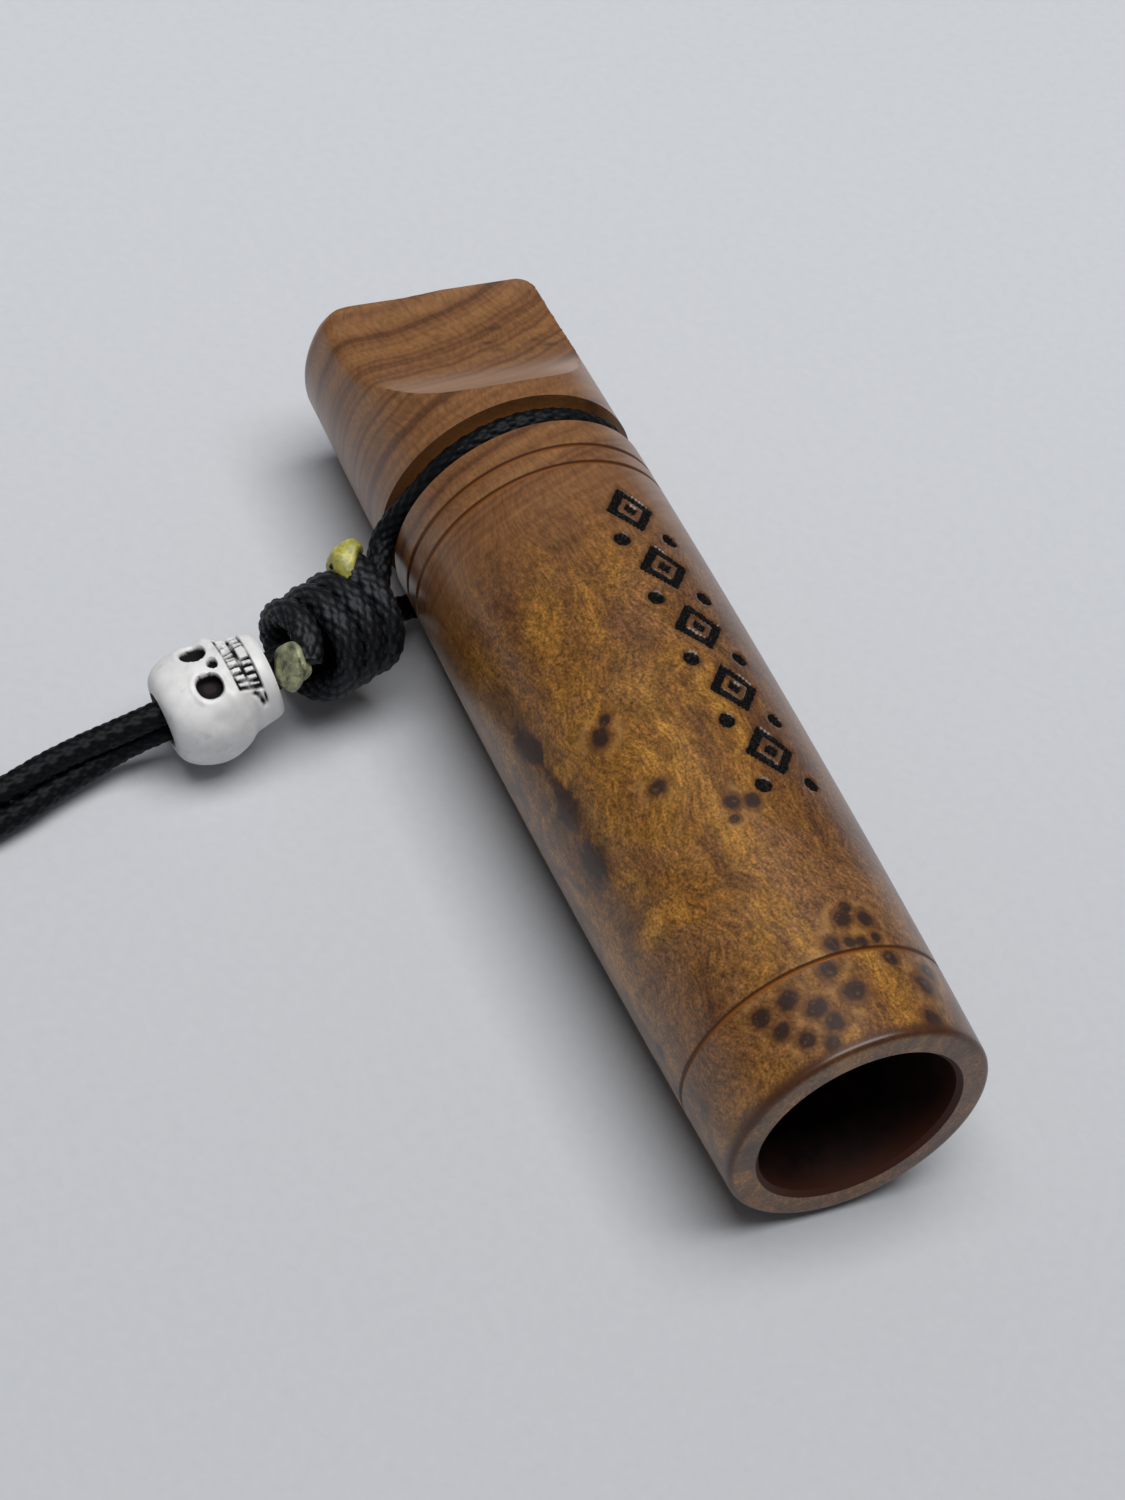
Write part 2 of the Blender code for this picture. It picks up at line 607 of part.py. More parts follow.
def skull_bead():
    """Bead whose origin is on the line it slides along, at the jaw end of its hole."""
    bm = bmesh.new()
    rings = []
    for at, wide, face, back in SKULL:
        ring = []
        for k in range(SKULL_SIDES):
            a = 2 * math.pi * k / SKULL_SIDES
            c = math.copysign(abs(math.cos(a)) ** (2 / SKULL_ROUND), math.cos(a))
            s = math.copysign(abs(math.sin(a)) ** (2 / SKULL_ROUND), math.sin(a))
            depth = face if s > 0 else back
            ring.append(bm.verts.new((wide * c * MM, (BEAD_LENGTH / MM - at) * MM, depth * s * MM)))
        rings.append(ring)
    for near, far in zip(rings, rings[1:]):
        for k in range(SKULL_SIDES):
            j = (k + 1) % SKULL_SIDES
            bm.faces.new((near[k], near[j], far[j], far[k]))
    bm.faces.new(rings[0][::-1])
    bm.faces.new(rings[-1])
    bmesh.ops.recalc_face_normals(bm, faces=bm.faces)
    place = Matrix.Translation(JAW) @ BEAD_TURN
    bead = add("skull_bead", mesh_from(bm, "skull_bead"), BONE)
    bead.matrix_world = place
    middle = JAW + BEAD_AXIS * BEAD_LENGTH / 2
    cut(bead, cutter(cylinder("bead_hole", BEAD_HOLE_R, BEAD_LENGTH * 2, middle, BEAD_AXIS, SKULL_SIDES)))
    for side in (-1, 1):
        eye = Matrix.Translation((side * EYE_AT[0], BEAD_LENGTH - EYE_AT[1], EYE_AT[2]))
        tool = ellipsoid(f"eye_{side + 1}", EYE_HALF, place @ eye, None, 8, 14)
        cut(bead, cutter(tool))
    nose = Matrix.Translation((0, BEAD_LENGTH - NOSE_AT[0], NOSE_AT[1]))
    cut(bead, cutter(ellipsoid("nose", NOSE_HALF, place @ nose, None, 6, 10)))
    mouth = box("mouth", MOUTH_SIZE, (0, BEAD_LENGTH - MOUTH_AT[0], MOUTH_AT[1]))
    mouth.data.transform(place)
    cut(bead, cutter(mouth))


call_body()
reed_housing()
seal_rings()
tone_trough()
reed()
reed_wedge()
cords()
coil_tie()
skull_bead()
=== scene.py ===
"""Looks of a turned wooden predator call with its reed insert and lanyard.

The lanyard is a cord noose, a wrapped knot, a skull bead and a neck cord. Lengths are in metres through MM.
+X runs along the call towards its bell end, +Z is up.
"""

import math

import bmesh
import bpy
import numpy as np
from mathutils import Matrix, Vector
from mathutils.kdtree import KDTree


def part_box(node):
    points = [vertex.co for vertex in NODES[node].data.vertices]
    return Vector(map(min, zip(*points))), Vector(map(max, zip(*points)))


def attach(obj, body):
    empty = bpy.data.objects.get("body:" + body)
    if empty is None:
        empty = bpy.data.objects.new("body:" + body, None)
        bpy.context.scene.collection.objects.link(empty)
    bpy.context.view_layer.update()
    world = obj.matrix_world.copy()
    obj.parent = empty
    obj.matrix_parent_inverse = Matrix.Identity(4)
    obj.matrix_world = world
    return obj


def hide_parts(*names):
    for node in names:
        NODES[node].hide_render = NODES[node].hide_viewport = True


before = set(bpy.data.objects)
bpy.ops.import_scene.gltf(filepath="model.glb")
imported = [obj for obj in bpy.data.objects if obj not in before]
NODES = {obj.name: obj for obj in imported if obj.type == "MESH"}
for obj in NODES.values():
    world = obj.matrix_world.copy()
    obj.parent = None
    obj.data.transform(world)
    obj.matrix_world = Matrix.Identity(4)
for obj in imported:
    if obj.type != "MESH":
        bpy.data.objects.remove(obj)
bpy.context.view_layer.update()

MM = 0.001
SCENE = bpy.context.scene

# Camera, at the photograph's view of 1125 by 1500 pixels
CAMERA_AT = Vector((181.448, -125.324, 238.228)) * MM
CAMERA_FORWARD = Vector((-0.571143, 0.379874, -0.727662))
CAMERA_RIGHT = Vector((0.390513, 0.905473, 0.166185))
CAMERA_LENS = 84.532
CAMERA_SENSOR = 36.0
CAMERA_CLIP = 10.0 * MM

# Floor, sky and lamp
FLOOR_HALF = 4.0
FLOOR_DARK = (0.580, 0.602, 0.640)
FLOOR_PALE = (0.604, 0.626, 0.664)
FLOOR_SLANT = 0.42
# The floor's tone darkens towards the camera's side as painted shade
FLOOR_SHADE_SPAN = (-0.12, 0.12)
FLOOR_NEAR_PAINTED_SHADE = 0.82
SKY_COLOUR = (0.93, 0.96, 1.0, 1.0)
SKY_LEVEL = 0.13
LAMP_AT = Vector((0.15, 0.0, 2.4))
LAMP_AIM = Vector((0.15, 0.0, 0.0))
LAMP_SIZE = (1.5, 2.25)
LAMP_WATTS = 63.0
LAMP_COLOUR = (1.0, 0.99, 0.975)

# Turned body, measured along the axis from the bell face
LENGTH = 98.0 * MM
BARREL_R = 12.7 * MM
BELL_R = 12.13 * MM
SWELL = 0.3 * MM
BELL_LINE_AT = 8.8 * MM
LINES_AT = (66.4 * MM, 68.7 * MM)
LINE_WIDTH = 0.62 * MM
LINE_DEPTH = 0.38 * MM
LINE_SHAPE = (
    (-1.0, 0.0), (-0.8, 0.12), (-0.45, 0.66), (-0.15, 0.96),
    (0.15, 0.96), (0.45, 0.66), (0.8, 0.12), (1.0, 0.0),
)
COVE_NEAR = 72.0 * MM
COVE_FAR = 75.5 * MM
COVE_DEPTH = 3.05 * MM
COVE_POWER = 0.8
MOUTH_TAPER = 0.015
BELL_EDGE = 0.55 * MM
TIP_ROUND = 1.5 * MM
BORE_R = 8.95 * MM
BORE_DEPTH = 37.0 * MM
BORE_EDGE = 0.45 * MM
BORE_TAPER = 3.0 * MM
BORE_STEP = 2.0 * MM
INSERT_BORE_R = 6.0 * MM
SHOULDER_AT = 69.0 * MM
SHOULDER_TAPER = 1.6 * MM
MOUTH_HOLE_R = 3.2 * MM
SCOOP_AT = 77.7 * MM
SCOOP_RUN = 16.0 * MM
SCOOP_FLOOR = 5.6 * MM
TURN_STEPS = 320
ROW_STEP = 0.3 * MM
GAP = 0.3 * MM

# Cutting of the scoops and sanding of their rims, with places on the X axis
SCOOP_END = -25.5 * MM
SCOOP_LOWEST = 0.8 * SCOOP_FLOOR
SCOOP_SNAP = 0.03 * MM
SCOOP_WELD = 0.002 * MM
SAND_FROM = -34.5 * MM
SAND_FULL = -40.0 * MM
SAND_REACH = 1.8 * MM
SAND_PASSES = 30
SAND_SHARE = 0.6

# Cord, knot and bead
CORD_D = 2.5 * MM
CORD_GAP = 0.5 * MM
COIL_GAP = 0.8 * MM
KNOT = np.array([-17.33, -20.96, 8.35]) * MM
KNOT_YAW = math.radians(113.6)
KNOT_TURNS = 3.125
KNOT_PITCH = 2.58 * MM
KNOT_FROM = math.radians(135.0)
KNOT_START = -5.85 * MM
KNOT_TAIL = 2.1 * MM
KNOT_LEAD = 0.12
KNOT_POINTS = 420
KNOT_STEP = 1.1 * MM
NOOSE_CORE = (0.7 * MM, 3.2 * MM, 5.6 * MM)
NOOSE_SHIFT = 0.15 * MM
NOOSE_LEAD = (0.2 * MM, -13.25 * MM, 12.3 * MM)
NOOSE_TAIL = (0.5 * MM, -9.2 * MM, 2.65 * MM)
NOOSE_TURN = (28.0, 281.0)
NOOSE_POINTS = 23
PAIR_CORE = (-0.7 * MM, -2.6 * MM, -4.4 * MM)
PAIR_STEP = 2.4 * MM
PAIR_PRESS = 0.07 * MM
PAIR_EASE = 0.05 * MM
PAIR_OPENS = 1.35
STUB_LENGTH = 3.4 * MM
STUB_STEPS = 6
STUB_BEND = -0.05
STUB_RISE = 0.06
JAW = np.array([-14.46, -27.9, 8.25]) * MM
BEAD_YAW = math.radians(-86.3)
BEAD_PITCH = math.radians(16.0)
BEAD_ROLL = math.radians(3.0)
BEAD_LENGTH = 10.8 * MM
BEAD_HOLE_R = 3.0 * MM
BEAD_SLIDE = 2.8 * MM
BEAD_EXIT = 0.3 * MM
IN_BEAD = (0.7 * MM, 5.5 * MM, 10.4 * MM)
COIL_X = -35.4 * MM
COIL_Y = -80.0 * MM
COIL_R = 27.6 * MM
COIL_EYE_R = 10.0 * MM
LOOP_POINTS = 24
COIL_EYE_POINTS = 9
TIE_THICK = 0.5 * MM
TIE_GAP = 0.15 * MM
TIE_CORNER = 0.8
TIE_EDGE = 0.3
TIE_STEPS = 8
# Run of the strands from the bead to the coil: place, and roll in degrees
RUN_OUT = (
    (-13.0 * MM, -44.6 * MM, 3.65 * MM, 16.0),
    (-11.7 * MM, -48.8 * MM, 3.3 * MM, 30.0),
    (-9.9 * MM, -53.7 * MM, 2.8 * MM, 48.0),
    (-8.7 * MM, -59.0 * MM, 2.35 * MM, 66.0),
    (-8.7 * MM, -64.5 * MM, 2.1 * MM, 82.0),
    (-9.1 * MM, -70.0 * MM, 2.05 * MM, 90.0),
)

CORD_R = CORD_D / 2
TABLE_Z = CORD_R + TIE_THICK + 2 * TIE_GAP
COIL_PITCH = CORD_D + COIL_GAP
PAIR = (CORD_D + CORD_GAP) / 2
HELIX_R = PAIR + CORD_D + GAP
KNOT_AXIS = np.array([math.cos(KNOT_YAW), math.sin(KNOT_YAW), 0.0])
KNOT_SIDE = np.array([-math.sin(KNOT_YAW), math.cos(KNOT_YAW), 0.0])
BEAD_TURN = (
    Matrix.Rotation(BEAD_YAW - math.pi / 2, 3, "Z")
    @ Matrix.Rotation(-BEAD_PITCH, 3, "X")
    @ Matrix.Rotation(BEAD_ROLL, 3, "Y")
)
BEAD_AXIS = np.array(BEAD_TURN @ Vector((0.0, 1.0, 0.0)))
UP = np.array([0.0, 0.0, 1.0])


# Outline of the barrel

def barrel_radius(at):
    """Outside radius at a distance from the bell face."""
    span = LINES_AT[0] - BELL_LINE_AT
    s = (LINES_AT[0] - at) / span
    if at <= COVE_NEAR:
        return BARREL_R + (BELL_R - BARREL_R) * s + SWELL * 4 * s * (1 - s)
    lip = barrel_radius(COVE_NEAR)
    return lip - MOUTH_TAPER * max(0.0, at - COVE_FAR)


AXIS_Z = max(barrel_radius(at) for at in np.linspace(BELL_LINE_AT, LINES_AT[0], 13)[1:-1])
COVE_X = LENGTH / 2 - (COVE_NEAR + COVE_FAR) / 2 + NOOSE_SHIFT
NOOSE_R = barrel_radius(COVE_NEAR) - COVE_DEPTH + GAP + CORD_R


# Camera, floor and light

def camera():
    data = bpy.data.cameras.new("camera")
    data.lens = CAMERA_LENS
    data.sensor_width = CAMERA_SENSOR
    data.clip_start = CAMERA_CLIP
    ob = bpy.data.objects.new("camera", data)
    SCENE.collection.objects.link(ob)
    up = CAMERA_RIGHT.cross(CAMERA_FORWARD)
    turn = Matrix((CAMERA_RIGHT, up, -CAMERA_FORWARD)).transposed()
    ob.matrix_world = Matrix.Translation(CAMERA_AT) @ turn.to_4x4()
    SCENE.camera = ob


class Graph:
    """Short names for building the nodes of one material."""

    def __init__(self, name):
        self.material = bpy.data.materials.new(name)
        self.material.use_nodes = True
        self.tree = self.material.node_tree
        self.shader = self.tree.nodes["Principled BSDF"]
        self.place = self.node("ShaderNodeTexCoord").outputs["Object"]

    def node(self, kind, **settings):
        made = self.tree.nodes.new(kind)
        for key, value in settings.items():
            setattr(made, key, value)
        return made

    def put(self, socket, value):
        if isinstance(value, bpy.types.NodeSocket):
            self.tree.links.new(value, socket)
        elif isinstance(value, tuple) and socket.type == "RGBA" and len(value) == 3:
            socket.default_value = (*value, 1.0)
        else:
            socket.default_value = value

    def finish(self, **values):
        for key, value in values.items():
            self.put(self.shader.inputs[key.replace("_", " ")], value)
        return self.material

    def math(self, operation, a, b=0.0):
        made = self.node("ShaderNodeMath", operation=operation)
        self.put(made.inputs[0], a)
        self.put(made.inputs[1], b)
        return made.outputs[0]

    def stretched(self, x, y, z, source=None):
        made = self.node("ShaderNodeVectorMath", operation="MULTIPLY")
        self.put(made.inputs[0], source or self.place)
        made.inputs[1].default_value = (x, y, z)
        return made.outputs[0]

    def noise(self, per_mm, detail=2.0, rough=0.5, warp=0.0, source=None, output="Fac"):
        made = self.node("ShaderNodeTexNoise")
        self.put(made.inputs["Vector"], source or self.place)
        made.inputs["Scale"].default_value = per_mm / MM
        made.inputs["Detail"].default_value = detail
        made.inputs["Roughness"].default_value = rough
        made.inputs["Distortion"].default_value = warp
        return made.outputs[output]

    def warped(self, per_mm, reach, source=None):
        """Coordinates pushed about by a slow noise."""
        made = self.node("ShaderNodeVectorMath", operation="MULTIPLY_ADD")
        self.put(made.inputs[0], self.noise(per_mm, detail=1.0, source=source, output="Color"))
        made.inputs[1].default_value = (reach, reach, reach)
        self.put(made.inputs[2], source or self.place)
        return made.outputs[0]

    def ramp(self, value, *stops):
        made = self.node("ShaderNodeValToRGB")
        points = made.color_ramp.elements
        while len(points) < len(stops):
            points.new(0.5)
        for point, (at, colour) in zip(points, sorted(stops, key=lambda stop: stop[0])):
            point.position = at
            point.color = (*colour, 1.0) if isinstance(colour, tuple) else (colour, colour, colour, 1.0)
        self.put(made.inputs[0], value)
        return made.outputs[0]

    def span(self, value, low, high, start=0.0, end=1.0):
        made = self.node("ShaderNodeMapRange", interpolation_type="SMOOTHSTEP")
        self.put(made.inputs[0], value)
        for socket, number in zip(made.inputs[1:5], (low, high, start, end)):
            socket.default_value = number
        return made.outputs[0]

    def mix(self, share, a, b, blend="MIX"):
        made = self.node("ShaderNodeMix", data_type="RGBA", blend_type=blend)
        self.put(made.inputs[0], share)
        self.put(made.inputs[6], a)
        self.put(made.inputs[7], b)
        return made.outputs[2]

    def axes(self):
        made = self.node("ShaderNodeSeparateXYZ")
        self.put(made.inputs[0], self.place)
        return made.outputs

    def blend(self, a, share_a, b, share_b):
        return self.math("ADD", self.math("MULTIPLY", a, share_a), self.math("MULTIPLY", b, share_b))

    def ragged(self, value, noise, reach):
        """A value made uneven by a noise."""
        return self.math("ADD", value, self.math("MULTIPLY", self.math("SUBTRACT", noise, 0.5), reach))

    def attribute(self, name):
        return self.node("ShaderNodeAttribute", attribute_name=name).outputs["Fac"]

    def bump(self, height, strength, distance):
        made = self.node("ShaderNodeBump")
        made.inputs["Strength"].default_value = strength
        made.inputs["Distance"].default_value = distance
        self.put(made.inputs["Height"], height)
        return made.outputs["Normal"]


def floor():
    g = Graph("floor_paper")
    x, y = g.axes()[:2]
    near = g.math("SUBTRACT", x, g.math("MULTIPLY", y, FLOOR_SLANT))
    tone = g.ramp(g.noise(0.9, 3.0, 0.6), (0.3, FLOOR_DARK), (0.7, FLOOR_PALE))
    # Painted shade: the floor darkens towards the camera's near side, standing in for the light's falloff
    painted_falloff = g.ramp(g.span(near, *FLOOR_SHADE_SPAN), (0.0, 1.0), (1.0, FLOOR_NEAR_PAINTED_SHADE))
    tone = g.mix(1.0, tone, painted_falloff, "MULTIPLY")
    mat = g.finish(Base_Color=tone, Roughness=0.7, Specular_IOR_Level=0.2)
    corners = [(FLOOR_HALF * a, FLOOR_HALF * b, 0) for a, b in ((-1, -1), (1, -1), (1, 1), (-1, 1))]
    data = bpy.data.meshes.new("floor")
    data.from_pydata(corners, [], [(0, 1, 2, 3)])
    ob = bpy.data.objects.new("floor", data)
    SCENE.collection.objects.link(ob)
    data.materials.append(mat)


def light():
    world = bpy.data.worlds.new("studio")
    SCENE.world = world
    world.use_nodes = True
    sky = world.node_tree.nodes["Background"]
    sky.inputs["Color"].default_value = SKY_COLOUR
    sky.inputs["Strength"].default_value = SKY_LEVEL
    data = bpy.data.lights.new("key", "AREA")
    data.shape = "RECTANGLE"
    data.size, data.size_y = LAMP_SIZE
    data.energy = LAMP_WATTS
    data.color = LAMP_COLOUR
    ob = bpy.data.objects.new("key", data)
    SCENE.collection.objects.link(ob)
    ob.location = LAMP_AT
    ob.rotation_euler = (LAMP_AIM - LAMP_AT).to_track_quat("-Z", "Y").to_euler()
    SCENE.view_settings.view_transform = "Standard"


# Meshes from grids of points

def grid_mesh(name, points, wrap_rows=False):
    """Mesh from rows of points, each a closed ring, with the end rows joined to each other or else capped."""
    rows, columns = points.shape[:2]
    index = np.arange(rows * columns).reshape(rows, columns)
    if wrap_rows:
        index = np.vstack([index, index[:1]])
    index = np.hstack([index, index[:, :1]])
    quads = np.stack([index[:-1, :-1], index[:-1, 1:], index[1:, 1:], index[1:, :-1]], -1).reshape(-1, 4)
    faces = quads.tolist()
    if not wrap_rows:
        faces.append(list(range(columns))[::-1])
        faces.append(list(range((rows - 1) * columns, rows * columns)))
    data = bpy.data.meshes.new(name)
    data.from_pydata(points.reshape(-1, 3).tolist(), [], faces)
    bm = bmesh.new()
    bm.from_mesh(data)
    bmesh.ops.recalc_face_normals(bm, faces=bm.faces)
    bm.to_mesh(data)
    bm.free()
    return data


def piece(name, data, *mats, smooth_angle=None):
    ob = bpy.data.objects.new(name, data)
    SCENE.collection.objects.link(ob)
    for mat in mats:
        data.materials.append(mat)
    data.shade_smooth()
    if smooth_angle:
        data.set_sharp_from_angle(angle=math.radians(smooth_angle))
    return ob


def paint(data, name, values):
    data.attributes.new(name, "FLOAT", "POINT").data.foreach_set("value", np.asarray(values, np.float32))


def points_of(data):
    flat = np.zeros(len(data.vertices) * 3, np.float32)
    data.vertices.foreach_get("co", flat)
    return flat.reshape(-1, 3).astype(float)


def ease(low, high, value):
    t = np.clip((value - low) / (high - low), 0.0, 1.0)
    return t * t * (3 - 2 * t)


# Routes of the cords

def unit(vectors):
    return vectors / np.linalg.norm(vectors, axis=-1, keepdims=True)


def run_along(path):
    """Distance along a path at each of its points."""
    return np.concatenate([[0.0], np.cumsum(np.linalg.norm(np.diff(path, axis=0), axis=1))])


def smooth_path(points, step):
    """Centripetal Catmull-Rom curve through the points, resampled at an even step."""
    p = np.array(points, float)
    p = np.vstack([2 * p[0] - p[1], p, 2 * p[-1] - p[-2]])
    out = []
    for a, b, c, d in zip(p, p[1:], p[2:], p[3:]):
        t0 = 0.0
        t1 = t0 + np.linalg.norm(b - a) ** 0.5
        t2 = t1 + np.linalg.norm(c - b) ** 0.5
        t3 = t2 + np.linalg.norm(d - c) ** 0.5
        for t in np.linspace(t1, t2, 24, endpoint=False):
            a1 = (t1 - t) / (t1 - t0) * a + (t - t0) / (t1 - t0) * b
            a2 = (t2 - t) / (t2 - t1) * b + (t - t1) / (t2 - t1) * c
            a3 = (t3 - t) / (t3 - t2) * c + (t - t2) / (t3 - t2) * d
            b1 = (t2 - t) / (t2 - t0) * a1 + (t - t0) / (t2 - t0) * a2
            b2 = (t3 - t) / (t3 - t1) * a2 + (t - t1) / (t3 - t1) * a3
            out.append((t2 - t) / (t2 - t1) * b1 + (t - t1) / (t2 - t1) * b2)
    out.append(p[-2])
    return resample(np.array(out), step)


def resample(path, step):
    run = run_along(path)
    count = max(2, int(round(run[-1] / step)) + 1)
    at = np.linspace(0.0, run[-1], count)
    return np.stack([np.interp(at, run, path[:, k]) for k in range(path.shape[1])], 1)


def on_knot(along, side=0.0, up=0.0):
    return KNOT + KNOT_AXIS * along + KNOT_SIDE * side + UP * up


def noose_path(step):
    top = [on_knot(along, 0, PAIR) for along in NOOSE_CORE]
    low = [on_knot(along, 0, -PAIR) for along in NOOSE_CORE]
    ring = []
    for degrees in np.linspace(*NOOSE_TURN, NOOSE_POINTS):
        a = math.radians(degrees)
        ring.append(np.array([COVE_X, -NOOSE_R * math.cos(a), AXIS_Z + NOOSE_R * math.sin(a)]))
    cove = np.array([COVE_X, 0.0, 0.0])
    return smooth_path([*top, cove + NOOSE_LEAD, *ring, cove + NOOSE_TAIL, *low[::-1]], step)


def knot_path(step):
    path = []
    for t in np.linspace(0.0, 1.0, KNOT_POINTS):
        turns = KNOT_TURNS * t
        a = KNOT_FROM - 2 * math.pi * turns
        along = KNOT_START + KNOT_TAIL * (1 - math.exp(-turns / KNOT_LEAD)) + KNOT_PITCH * turns
        path.append(on_knot(along, HELIX_R * math.cos(a), HELIX_R * math.sin(a)))
    way = unit(path[-1] - path[-2])
    for k in range(1, STUB_STEPS + 1):
        bent = way + KNOT_AXIS * STUB_BEND * min(1.0, k / 3) + UP * STUB_RISE
        path.append(path[-1] + unit(bent) * STUB_LENGTH / STUB_STEPS)
    return smooth_path(resample(np.array(path), KNOT_STEP), step)


def coil_path(outer):
    turns = (outer - COIL_EYE_R) / (2 * COIL_PITCH)
    a = np.linspace(0.0, 2 * math.pi * turns, int(turns * LOOP_POINTS))
    r = outer - 2 * COIL_PITCH * a / (2 * math.pi)
    return np.stack([COIL_X + r * np.cos(-a), COIL_Y + r * np.sin(-a), np.full_like(a, TABLE_Z)], 1)


def pair_path(step):
    """Middle line of the two strands, with their roll in thousandths of a radian as a fourth value."""
    points = [(*on_knot(along), 0.0) for along in PAIR_CORE]
    for along in (*IN_BEAD, BEAD_LENGTH + BEAD_SLIDE + BEAD_EXIT):
        points.append((*(JAW + BEAD_AXIS * along), 0.0))
    for x, y, z, roll in RUN_OUT:
        points.append((x, y, z, math.radians(roll) * MM))
    entry = COIL_X + COIL_R - COIL_PITCH / 2
    points.append((entry, COIL_Y, TABLE_Z, math.pi / 2 * MM))
    return smooth_path(points, step)


def strands(step):
    middle = pair_path(step)
    way = unit(np.gradient(middle[:, :3], axis=0))
    side = unit(np.cross(way, UP))
    over = np.cross(side, way)
    roll = middle[:, 3] / MM
    tight = CORD_R - PAIR_PRESS
    apart = [tight, tight + PAIR_EASE, COIL_PITCH / 2]
    spread = np.interp(roll, [0.0, PAIR_OPENS, math.pi / 2], apart)[:, None]
    offset = (over * np.cos(roll)[:, None] + side * np.sin(roll)[:, None]) * spread
    upper = middle[:, :3] + offset
    lower = middle[:, :3] - offset
    for path in (upper, lower):
        path[:, 2] = np.maximum(path[:, 2], TABLE_Z)
    return upper, lower


def lanyard_path(step):
    upper, lower = strands(PAIR_STEP)
    arm_a = coil_path(COIL_R - COIL_PITCH)
    arm_b = coil_path(COIL_R)
    middle = np.array([COIL_X, COIL_Y, arm_a[-1][2]])
    spoke = (arm_a[-1] - middle) / 2
    cross = np.array([spoke[1], -spoke[0], 0.0])
    eye = []
    for a in np.linspace(0.0, math.pi, COIL_EYE_POINTS)[1:]:
        eye.append(middle + spoke + spoke * math.cos(a) + cross * math.sin(a))
    for a in np.linspace(0.0, math.pi, COIL_EYE_POINTS)[1:-1]:
        eye.append(middle - spoke + spoke * math.cos(a) - cross * math.sin(a))
    return smooth_path(np.vstack([upper[:-1], arm_a, eye, arm_b[::-1], lower[-2::-1]]), step)


# Braided cord, with the step along and the sides round each mesh
BRAID_STRANDS = 8
BRAID_PITCH = 0.86 * MM
BRAID_DEPTH = 0.25 * MM
LANYARD_STEP = 0.26 * MM
LANYARD_SIDES = 32
NOOSE_STEP = 0.16 * MM
NOOSE_SIDES = 40
WRAP_STEP = 0.15 * MM
WRAP_SIDES = 44


def rings_along(path):
    """Two unit vectors across the path at each point, carried along it without twist."""
    way = unit(np.gradient(path, axis=0))
    across = np.zeros_like(path)
    across[0] = unit(np.cross(way[0], UP))
    for k in range(1, len(path)):
        across[k] = unit(across[k - 1] - way[k] * np.dot(across[k - 1], way[k]))
    return across, np.cross(way, across)


def braid_height(run, angle):
    """Height from 0 to 1 of the crossing strands of a round braid, over one and under one."""
    a = BRAID_STRANDS * angle / (2 * math.pi) + run / (2 * BRAID_PITCH)
    b = BRAID_STRANDS * angle / (2 * math.pi) - run / (2 * BRAID_PITCH)
    over = (np.floor(a) + np.floor(b)) % 2 < 1
    across = np.where(over, a, b) % 1.0
    along = np.where(over, b, a) % 1.0
    return np.sqrt(np.clip(1 - (2 * across - 1) ** 2, 0, 1)) * (0.35 + 0.65 * np.sin(math.pi * along))


def braided(name, path, sides, mat, swell=None):
    """Braided tube along a path. Swell holds the share by which each point is stretched along the knot."""
    across, over = rings_along(path)
    angle = np.linspace(0.0, 2 * math.pi, sides, endpoint=False)
    height = braid_height(run_along(path)[:, None], angle[None])
    r = CORD_R - BRAID_DEPTH * (1 - height)
    ring = across[:, None] * np.cos(angle)[None, :, None] + over[:, None] * np.sin(angle)[None, :, None]
    offset = ring * r[:, :, None]
    if swell is not None:
        offset = offset + KNOT_AXIS * ((offset @ KNOT_AXIS) * swell[:, None])[:, :, None]
    data = grid_mesh(name, path[:, None] + offset)
    paint(data, "braid", height.ravel())
    return piece(name, data, mat)


def cord_material(name, lift):
    """Black fibre, paler on the braid's crests as wear and as a painted highlight. Lift scales how pale and
    shiny those crests are.
    """
    g = Graph(name)
    height = g.attribute("braid")
    fibre = g.noise(6.0, 2.0, 0.6)
    # Worn: the braid's crests, paler as wear and as a painted highlight
    worn = g.math("MULTIPLY", g.span(height, 0.5, 0.95), g.span(fibre, 0.40, 0.70))
    tone = g.mix(worn, (0.0022, 0.0024, 0.0030), (0.022 * lift, 0.023 * lift, 0.027 * lift))
    normal = g.bump(g.math("ADD", fibre, height), 0.35, 0.06 * MM)
    return g.finish(Base_Color=tone, Roughness=0.5, Specular_IOR_Level=0.08 + 0.18 * lift,
                    Specular_Tint=(0.85, 0.92, 1.0), Normal=normal)


def knot_swell(path):
    """Share by which the wraps spread sideways against each other, and the flattened stub most of all."""
    run = run_along(path)
    wraps = 0.04 + 0.14 * ease(0.0, 3.0 * MM, run)
    lumps = 0.06 * np.sin(run / (2.3 * MM)) + 0.03 * np.sin(run / (0.9 * MM) + 1.0)
    stub = 0.30 * ease(run[-1] - STUB_LENGTH - 3.0 * MM, run[-1] - 1.0 * MM, run)
    return wraps + lumps * ease(0.0, 4.0 * MM, run) + stub


def cords():
    mat = cord_material("black_cord", lift=0.3)
    route = lanyard_path(LANYARD_STEP)
    lanyard = braided("lanyard_braid", route, LANYARD_SIDES, mat)
    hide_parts("lanyard_cord")
    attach(lanyard, "call")
    mat = cord_material("noose_cord", lift=0.4)
    noose = braided("noose_braid", noose_path(NOOSE_STEP), NOOSE_SIDES, mat)
    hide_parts("noose")
    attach(noose, "call")
    wraps = knot_path(WRAP_STEP)
    # The knot's copy of the black cord has paler crests, a stronger painted highlight than the lanyard's and
    # the noose's
    mat = cord_material("knot_cord", lift=1.2)
    knot = braided("knot_braid", wraps, WRAP_SIDES, mat, knot_swell(wraps))
    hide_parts("knot_wrap")
    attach(knot, "call")
    return lanyard, route, wraps


